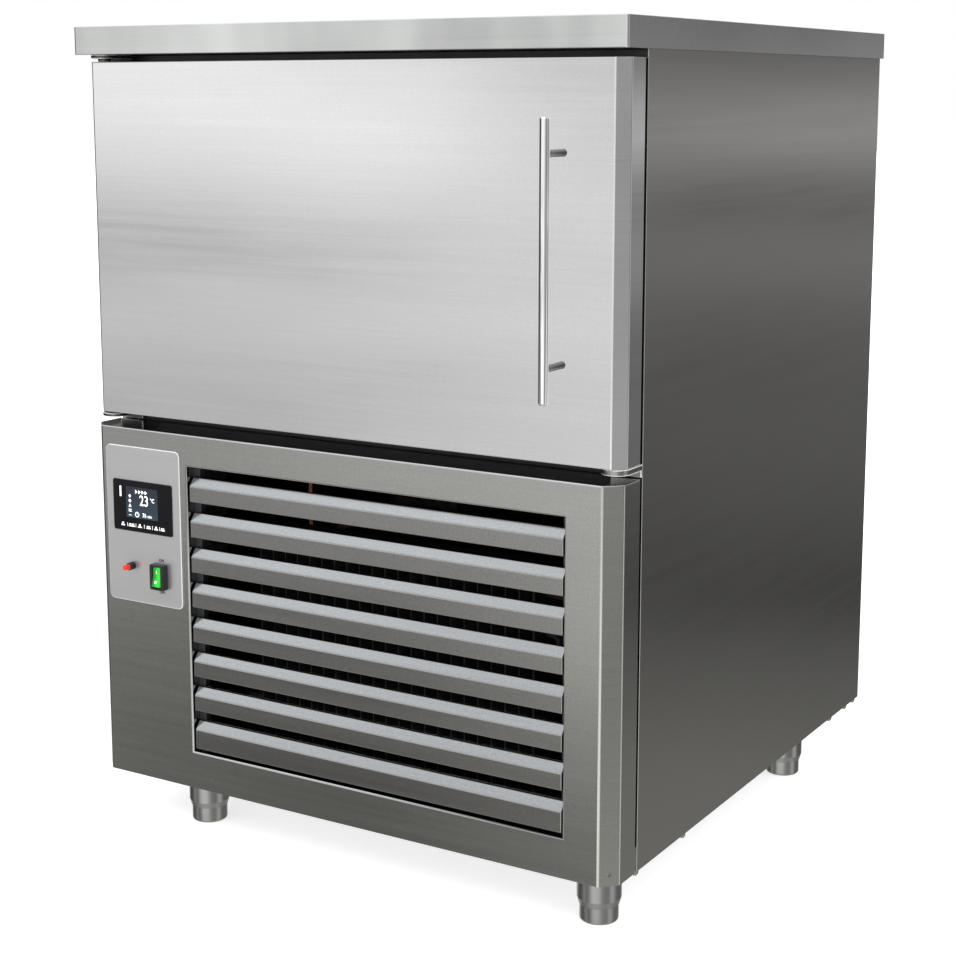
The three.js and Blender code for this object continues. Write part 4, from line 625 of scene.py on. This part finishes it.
def makeFoot(corner, values):
    low, high = corners("foot_sleeve_" + corner)
    middle = (low + high) / 2
    radius, height = (high[0] - low[0]) / 2, high[2] - low[2]
    rim, edge, taper, inside = values["rim"], values["edge"], values["taper"], height - values["cap"]
    foot, bore = radius - values["narrowing"], radius - values["wall"]
    outer = [(0.0, height), (radius - rim, height), (radius, height - rim), (radius, taper + values["shoulder"]),
             (radius - edge, taper), (foot, edge), (foot - edge, 0.0), (bore, 0.0), (bore, inside), (0.0, inside)]
    turnedPiece("foot_tube_" + corner, outer, (middle[0], middle[1], low[2]), (0, 0, 1), "cabinet", "foot_steel",
                ["foot_sleeve_" + corner], segments=64, sharp=14.0)  # the taper's edges stay crisp
    low, high = corners("foot_insert_" + corner)
    radius, height, tread = (high[0] - low[0]) / 2, high[2] - low[2], values["tread"]
    inner = [(0.0, 0.0), *quarter(radius - tread, tread, tread, -90, 0, 5), (radius, height - rim),
             (radius - rim, height), (0.0, height)]
    turnedPiece("foot_stem_" + corner, inner, (middle[0], middle[1], low[2]), (0, 0, 1), "foot_" + corner,
                "foot_steel", ["foot_insert_" + corner], segments=64)


for corner in ("front_left", "front_right", "rear_left", "rear_right"):
    makeFoot(corner, footValues)
print("handle and feet made")


# screws

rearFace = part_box("rear_panel")[1][1] - sheet  # the cable gland stands one sheet proud of the panel
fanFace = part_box("fan_panel")[0][1]
screws = {  # where the heads sit, which way they point, their radius and height in millimetres
    "rail_screw": ([(0.270, frameFace, 0.5470)], (0, -1, 0), 2.4, 1.2),
    "chamfer_screw": ([(0.3902, panelFace + 9.7 * mm, 0.0810)], (0.7071, -0.7071, 0), 3.0, 1.2),
    "underside_screw": ([(0.3945, y, 0.0668) for y in (-0.328, -0.194, 0.325, 0.389, 0.425)], (0, 0, -1), 4.5, 7.0),
    "rear_screw": ([(x, rearFace, z) for x in (-0.386, 0.386) for z in (0.11, 0.33, 0.56, 0.79, 1.02)]
                   + [(x, rearFace, z) for x in (-0.13, 0.13) for z in (0.082, 1.03)], (0, 1, 0), 4.0, 1.1),
    "fan_panel_screw": ([(x, fanFace, z) for x in (-0.215, 0.0, 0.215) for z in (0.630, 0.974)], (0, -1, 0), 4.0, 2.0),
}
screwValues = dict(sunk=0.1, dome=0.6, socket=0.5, taper=0.9, floor=0.35)  # sunk is in millimetres, the rest shares


def makeScrew(name, place, axis, radius, height, values=screwValues):
    # a low round head with a socket in it
    sunk, dome, floor = -values["sunk"], height * values["dome"], height * values["floor"]
    socket = radius * values["socket"]
    profile = [(0.0, sunk), (radius, sunk), *quarter(radius - dome, height - dome, dome, 0, 90), (socket, height),
               (socket * values["taper"], floor), (0.0, floor)]
    profile = [(across * mm, along * mm) for across, along in profile]
    turnedPiece(name, profile, place, axis, "cabinet", "bracket_steel", segments=24)


for name, (places, axis, radius, height) in screws.items():
    for i, place in enumerate(places):
        makeScrew(name if len(places) == 1 else "%s_%d" % (name, i + 1), place, axis, radius, height)
print("screws made")


# dark strips behind the lower panel's returns, filling the gaps there with painted shade

gapShadeValues = dict(start=0.378, width=9 * mm, foot=75 * mm, top=530 * mm, play=0.2 * mm, lap=46 * mm, bulge=0.35)


def makeGapShadeStrip(side, values):
    # a soft dark D-shaped rubber strip carried up the panel: half an oval that bulges inwards, closed by a flat outer
    # face; it fills the gap behind the panel's return with painted shade
    front, back = panelFace + values["lap"], frameFace - values["play"]
    angle = np.linspace(-pi / 2, pi / 2, 13)
    outer = values["start"] + values["width"]
    outline = np.concatenate([np.stack([values["start"] + values["width"] * values["bulge"] * (1 - np.cos(angle)),
                                        (front + back) / 2 + (back - front) / 2 * np.sin(angle)], axis=-1),
                              [[outer, back], [outer, front]]])
    lift = np.linspace(values["foot"], values["top"], 6)
    points = np.concatenate([np.column_stack([side * outline[:, 0], outline[:, 1], np.full(len(outline), z)])
                             for z in lift])
    faces = [*gridFaces(len(lift), len(outline), closedColumns=True), *caps(len(outline), len(points))]
    makePiece("gap_shade_strip_" + ("right" if side > 0 else "left"), points, faces, "cabinet", "gasket_rubber", sharp=60.0)


for side in (1, -1):
    makeGapShadeStrip(side, gapShadeValues)
print("gap_shade_strips made")


# flat marks and lettering

def prism(outline, front, back):
    # an outline (x, z) carried straight back from one depth to another, closed at both ends
    outline = np.array(outline, dtype=float)
    count = len(outline)
    points = np.stack([np.tile(outline[:, 0], 2), np.repeat([front, back], count), np.tile(outline[:, 1], 2)], axis=-1)
    return points, [*caps(count, 2 * count), *gridFaces(2, count, closedColumns=True)]


def ring(centre, outer, inner, front, back, steps=28):
    # a flat ring: two radii at two depths, point = centre + r (cos a, sin a)
    angle = np.linspace(0.0, 2 * pi, steps, endpoint=False)[None, :]
    radius = np.array([outer, inner, inner, outer])[:, None]
    depth = np.array([front, front, back, back])[:, None] * np.ones_like(angle)
    points = np.stack([centre[0] + radius * np.cos(angle), depth, centre[1] + radius * np.sin(angle)], axis=-1)
    return points.reshape(-1, 3), gridFaces(4, steps, True, True)


def disc(centre, radius, steps=20):
    # outline of a round: centre + radius (cos a, sin a)
    angle = np.linspace(0.0, 2 * pi, steps, endpoint=False)
    return np.stack([centre[0] + radius * np.cos(angle), centre[1] + radius * np.sin(angle)], axis=-1)


def bar(left, bottom, width, height):
    # outline of a rectangle
    return [(left, bottom), (left + width, bottom), (left + width, bottom + height), (left, bottom + height)]


def lettering(text, height, centre, front, back, stretch=1.0, weight=0.0):
    # raised type set in the wall plane: type x runs along X, type y runs up, its thickness runs forward
    curve = bpy.data.curves.new("type", "FONT")
    curve.body = text
    curve.extrude = 0.05
    curve.offset = weight
    curve.resolution_u = 3
    holder = addObject("type", curve)
    bpy.context.view_layer.update()
    mesh = bpy.data.meshes.new_from_object(holder.evaluated_get(bpy.context.evaluated_depsgraph_get()))
    points = np.empty(len(mesh.vertices) * 3)
    mesh.vertices.foreach_get("co", points)
    points = points.reshape(-1, 3)
    faces = [tuple(polygon.vertices) for polygon in mesh.polygons]
    bpy.data.objects.remove(holder)
    bpy.data.curves.remove(curve)
    bpy.data.meshes.remove(mesh)
    low, high = points.min(axis=0), points.max(axis=0)
    size = height / (high[1] - low[1])
    placed = (points - (low + high) / 2) * (size * stretch, size, 1.0)
    depth = back + (front - back) * (points[:, 2] - low[2]) / (high[2] - low[2])
    return np.stack([placed[:, 0] + centre[0], depth, placed[:, 1] + centre[1]], axis=-1), faces


def joined(parts):
    # several (points, faces) made one
    points = np.concatenate([part[0] for part in parts])
    offsets = np.cumsum([0] + [len(part[0]) for part in parts])
    return points, [tuple(int(i) + offset for i in face) for part, offset in zip(parts, offsets) for face in part[1]]


def roundedRings(name, low, high, rings, body, slot, replaced=(), material=None, closed=False):
    # rounded rectangles of (inset across, inset upright, corner radius, depth), capped at both ends or run back to
    # the first: point = corner centre + corner radius (cos a, sin a)
    angle = np.radians(np.linspace(0, 90, 9))[None, None, :] + np.radians([0, 90, 180, 270])[None, :, None]
    across, upright, corner, depth = (np.array(column)[:, None, None] for column in zip(*rings))
    right, top = np.array([1, 0, 0, 1])[None, :, None], np.array([1, 1, 0, 0])[None, :, None]
    centreX = right * (high[0] - across - corner) + (1 - right) * (low[0] + across + corner)
    centreZ = top * (high[2] - upright - corner) + (1 - top) * (low[2] + upright + corner)
    points = np.stack([centreX + corner * np.cos(angle), depth + 0.0 * angle, centreZ + corner * np.sin(angle)],
                      axis=-1).reshape(-1, 3)
    faces = [*gridFaces(len(rings), angle.size, closed, True)]
    if not closed:
        faces += caps(angle.size, len(points))
    return weighted(makePiece(name, points, faces, body, slot, replaced=replaced, material=material, sharp=50.0))


gasketValues = dict(width=16 * mm, corner=12 * mm, inner=6 * mm, profile=[  # shares of the width and of the depth
    (0.16, 0.0), (0.10, 0.16), (0.0, 0.30), (0.08, 0.42), (0.0, 0.55), (0.07, 0.66), (0.07, 0.90), (0.15, 1.0),
    (0.85, 1.0), (0.93, 0.90), (0.93, 0.66), (1.0, 0.55), (0.92, 0.42), (1.0, 0.30), (0.90, 0.16), (0.84, 0.0)])


def makeGasket(values):
    # a bellows and magnet profile carried round the door: rows of rounded rectangles joined back to the first
    low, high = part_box("door_gasket")
    width, deep = values["width"], high[1] - low[1]
    narrowing = values["corner"] - values["inner"]
    rings = [(share * width, share * width, values["corner"] - narrowing * share, low[1] + depth * deep)
             for share, depth in values["profile"]]
    roundedRings("door_gasket_bellows", low, high, rings, "door", "gasket_rubber", ["door_gasket"], closed=True)


makeGasket(gasketValues)
print("gasket made")


filterValues = dict(reach=(-0.33, 0.33), lift=(0.095, 0.525), gap=1.0 * mm, thick=5 * mm, corner=8 * mm,
                    soft=1.5 * mm)


def makeFilter(values):
    # a soft pad behind the air slots of the rear panel, a rounded sheet with eased edges
    face = rearFace - sheet - values["gap"]
    low, high = ((x, 0, z) for x, z in zip(values["reach"], values["lift"]))
    soft, corner, back = values["soft"], values["corner"], face - values["thick"]
    rings = [(soft, soft, corner - soft, face), (0.0, 0.0, corner, face - soft), (0.0, 0.0, corner, back + soft),
             (soft, soft, corner - soft, back)]
    roundedRings("slot_filter", low, high, rings, "cabinet", "gasket_rubber")


makeFilter(filterValues)
print("filter made")


# display

displayValues = dict(
    corner=3.0 * mm, screenCorner=0.6 * mm, edge=0.7 * mm, relief=0.12 * mm,
    glow=((0.030, 0.050, 0.075), (0.013, 0.016, 0.026)),
    # all that follows is in shares of the display's width and height, across and down from its upper left corner
    screen=(0.225, 0.12, 0.765, 0.725),  # left, top, right and bottom
    # text, place, height, stretch and weight
    words=[("23", 0.530, 0.37, 0.205, 0.80, 0.008), ("°C", 0.675, 0.345, 0.085, 0.9, 0.02),
           ("76", 0.535, 0.655, 0.085, 0.85, 0.015), ("min", 0.625, 0.665, 0.055, 0.85, 0.015)],
    arrows=(0.388, 0.442, 0.496, 0.550), arrowsDown=0.21, arrowSize=0.040,
    dial=(0.41, 0.655, 0.036, 0.026), bars=[(0.407, 0.657, 0.006, 0.03), (0.118, 0.335, 0.026, 0.205)],
    signsAcross=0.29, signSize=0.024,
    keys=[(0.16, 0.030), (0.31, 0.052), (0.45, 0.032), (0.60, 0.036), (0.73, 0.030), (0.84, 0.034)],  # and half widths
    keysDown=0.905, keyLine=0.022, keyUpper=0.034, keyDot=(0.048, 0.016), divider=(0.005, 0.006, 0.075))
displaySigns = [  # how far down, and the outlines in sizes of a sign
    (0.305, [[(0, -1.5), (1.3, 0), (0, 1.5), (-1.3, 0)]]), (0.40, [disc((0, 0), 1.3)]),
    (0.495, [[(-1.5, -1), (1.5, -1), (0, 1.6)]]), (0.59, [bar(-1.6, -0.9, 3.2, 0.7), bar(-1.6, 0.5, 3.2, 0.7)]),
    (0.68, [bar(-1.5, -0.25, 3.0, 0.4)])]


def makeDisplay(values):
    low, high = corners("display_module")
    wide, tall = high[0] - low[0], high[2] - low[2]
    edge, relief, corner = values["edge"], values["relief"], values["corner"]
    face = low[1] + relief  # the marks stand on this face and end where the solid does
    rings = [(edge, edge, corner - edge, face), (edge * 0.3, edge * 0.3, corner - edge * 0.3, face + edge * 0.3),
             (0.0, 0.0, corner, face + edge), (0.0, 0.0, corner, high[1])]
    roundedRings("display_glass", low, high, rings, "cabinet", "display_gloss", ["display_module"])

    def spot(across, down):
        return low[0] + across * wide, high[2] - down * tall

    left, top, right, bottom = values["screen"]
    (startX, startZ), (endX, endZ) = spot(left, bottom), spot(right, top)
    finish = lightAcross(finishes["display_screen"], 2, startZ, endZ, *values["glow"])
    rings = [(0.0, 0.0, values["screenCorner"], depth) for depth in (face - relief * 0.4, face + relief)]
    roundedRings("display_screen", (startX, 0, startZ), (endX, 0, endZ), rings, "cabinet", "display_gloss",
                 material=finish)
    front, back = face - relief * 0.8, face
    marks = []

    def mark(outline):
        marks.append(prism(outline, front, back))

    def markBar(across, down, width, height):
        mark(bar(*spot(across, down), width * wide, height * tall))

    for text, across, down, height, stretch, weight in values["words"]:
        marks.append(lettering(text, height * tall, spot(across, down), front, back, stretch, weight))
    for across in values["arrows"]:
        x, z = spot(across, values["arrowsDown"])
        reach, half = values["arrowSize"] * wide, values["arrowSize"] * tall
        mark([(x, z - half), (x + reach, z), (x, z + half)])
    across, down, outer, inner = values["dial"]
    marks.append(ring(spot(across, down), outer * wide, inner * wide, front, back))
    for place in values["bars"]:
        markBar(*place)
    for down, outlines in displaySigns:
        for outline in outlines:
            mark(np.array(outline) * values["signSize"] * tall + spot(values["signsAcross"], down))
    down, line, upper = values["keysDown"], values["keyLine"], values["keysDown"] - values["keyUpper"]
    before = None
    for i, (across, half) in enumerate(values["keys"]):  # a row of touch keys, each a sign over a short line
        markBar(across - half, down, 2 * half, line)
        if i % 2:
            markBar(across - 0.8 * half, upper, 0.7 * half, line)
            markBar(across + 0.1 * half, upper, 0.7 * half, line)
        else:
            lift, radius = values["keyDot"]
            mark(disc(spot(across, down - lift), radius * wide, 12))
        if i:
            drop, width, height = values["divider"]
            markBar((across + before) / 2, down + drop, width, height)
        before = across
    points, faces = joined(marks)
    makePiece("display_marks", points, faces, "cabinet", "display_gloss", finishes["print_white"], smooth=False)


makeDisplay(displayValues)
print("display made")


# rocker switch and push button

rockerValues = dict(corner=2.6 * mm, bulge=1.6 * mm, lip=0.6 * mm, wellDepth=12 * mm, wellCorner=0.9 * mm,
                    wellPlay=(0.3 * mm, 1.5 * mm), keyReach=(13 * mm, 26 * mm), bodyInset=2.0 * mm,
                    bodyCorner=0.2 * mm, keyEdge=0.7 * mm, glow=((0.0, 0.035, 0.0), (0.02, 0.72, 0.03)),
                    glowInset=(1.0 * mm, 3.5 * mm), signReach=0.52, signRing=(2.0 * mm, 1.25 * mm),
                    signLine=(1.0 * mm, 4.4 * mm), raised=0.06 * mm, sunk=0.2 * mm, letterHeight=4.2 * mm,
                    letterGap=4.6 * mm, letterShift=1.5 * mm)


def makeRocker(values):
    low, high = corners("rocker_housing")
    keyLow, keyHigh = corners("rocker_key")
    plate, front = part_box("control_fascia")[0][1], low[1]
    wall = [(high[i] - low[i] - reach) / 2 - play
            for i, reach, play in zip((0, 2), values["keyReach"], values["wellPlay"])]
    corner, bulge, lip, inset = values["corner"], values["bulge"], values["lip"], values["bodyInset"]
    rings = [(inset, inset, values["bodyCorner"], high[1]), (inset, inset, values["bodyCorner"], plate),
             (0.0, 0.0, corner, plate)]
    for t in np.radians([0, 22, 45, 67, 90]):  # forward and in round the raised frame
        eased = bulge * (1 - cos(t))
        rings.append((eased, eased, corner - eased * 0.6, front + bulge * (1 - sin(t))))
    for t in np.radians([0, 35, 65, 90]):  # over the lip into the well
        rings.append((wall[0] - lip * cos(t), wall[1] - lip * cos(t), values["wellCorner"],
                      front + lip * (1 - cos(t)) * 0.8))
    rings.append((*wall, values["wellCorner"], front + values["wellDepth"]))
    roundedRings("rocker_housing_shell", low, high, rings, "cabinet", "black_plastic", ["rocker_housing"])
    # the key glows green as a lit switch does; its glow runs from dark on the left to bright on the right, and that
    # bright right side is a painted highlight
    left, right = values["glowInset"]
    lightAcross(finishes["green_key"], 0, keyLow[0] + left, keyHigh[0] - right, *values["glow"])
    foldedCopy("rocker_key", values["keyEdge"])
    # the key's front is two slopes that meet in a valley, and each runs out to the foremost point above or below it
    key = frame["nodes"]["rocker_key"].data
    places = np.empty(len(key.vertices) * 3)
    key.vertices.foreach_get("co", places)
    places = np.unique(np.round(places.reshape(-1, 3)[:, 1:], 6), axis=0)
    slopes = places[places[:, 0] < places[:, 0].min() + 0.6 * np.ptp(places[:, 0])]
    slopes = slopes[np.argsort(slopes[:, 1])]
    valley = slopes[len(slopes) // 2]
    below, above = slopes[slopes[:, 1] < valley[1]], slopes[slopes[:, 1] > valley[1]]
    raised, sunk = -values["raised"], values["sunk"]
    width, height = values["signLine"]
    signs = [(below[below[:, 0].argmin()], ring((0.0, 0.0), *values["signRing"], raised, sunk)),
             (above[above[:, 0].argmin()], prism(bar(-width / 2, -height / 2, width, height), raised, sunk))]
    parts = []
    for tip, (points, faces) in signs:  # each sign is turned to lie on its slope
        slope = np.array([0.0, *(tip - valley)])
        slope /= np.linalg.norm(slope)
        inward = np.cross([1.0, 0.0, 0.0], slope)
        inward *= np.sign(inward[1])
        origin = np.array([(keyLow[0] + keyHigh[0]) / 2, *(valley + (tip - valley) * values["signReach"])])
        parts.append((origin + points @ np.array([[1.0, 0.0, 0.0], inward, slope]), faces))
    points, faces = joined(parts)
    makePiece("rocker_signs", points, faces, "rocker", "green_key", finishes["print_white"], smooth=False)
    across = (low[0] + high[0]) / 2 + values["letterShift"]
    points, faces = joined([
        lettering(text, values["letterHeight"], (across, z), plate + raised, plate + sunk / 2, weight=0.03)
        for text, z in (("ON", high[2] + values["letterGap"]), ("OFF", low[2] - values["letterGap"]))])
    makePiece("switch_lettering", points, faces, "cabinet", "black_plastic", finishes["print_black"], smooth=False)


buttonValues = dict(threads=5, threadDepth=0.35 * mm, threadStart=1.4 * mm, threadEnd=0.4 * mm, play=0.3 * mm,
                    lip=0.3 * mm, edge=0.8 * mm, wall=1.0 * mm, travelRoom=3.6 * mm, dome=1.6 * mm,
                    crown=(0.45, 0.12 * mm, 0.15 * mm))  # a share of the radius, the drop there and at the dome


def makeButton(values):
    low, high = corners("button_barrel")
    capLow, capHigh = corners("button_cap")
    plate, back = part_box("control_fascia")[0][1] - low[1], high[1] - low[1]
    centre = (low + high) / 2
    capRadius, radius = (capHigh[0] - capLow[0]) / 2, (high[0] - low[0]) / 2
    bore, lip, edge, shank = capRadius + values["play"], values["lip"], values["edge"], radius - values["wall"]
    well = capHigh[1] + values["travelRoom"] - low[1]
    start, end = values["threadStart"], plate - values["threadEnd"]
    step = (end - start) / values["threads"]
    profile = [(0.0, well), (bore, well), (bore, lip), (bore + lip, 0.0), (radius - edge, 0.0), (radius, edge)]
    for i in range(values["threads"]):
        profile += [(radius, start + step * i), (radius - values["threadDepth"], start + step * (i + 0.5))]
    profile += [(radius, end), (radius, plate), (shank, plate), (shank, back), (0.0, back)]
    turnedPiece("button_thread", profile, (centre[0], low[1], centre[2]), (0, 1, 0), "cabinet", "black_plastic",
                ["button_barrel"], segments=40)
    length, dome = capHigh[1] - capLow[1], values["dome"]
    share, drop, shoulder = values["crown"]
    profile = [(0.0, 0.0), (capRadius * share, drop), *quarter(capRadius - dome, dome + shoulder, dome, -90, 0, 5),
               (capRadius, length), (0.0, length)]
    turnedPiece("button_head", profile, (centre[0], capLow[1], centre[2]), (0, 1, 0), "button", "red_cap",
                ["button_cap"], segments=40)


makeRocker(rockerValues)
makeButton(buttonValues)
print("switch and button made")


# what stays as the solids have it

for node, solid in frame["nodes"].items():
    solid.data.materials.clear()
    solid.data.materials.append(finishes[dustAndShade.get(node, slotOf[node])])
print("solids painted")
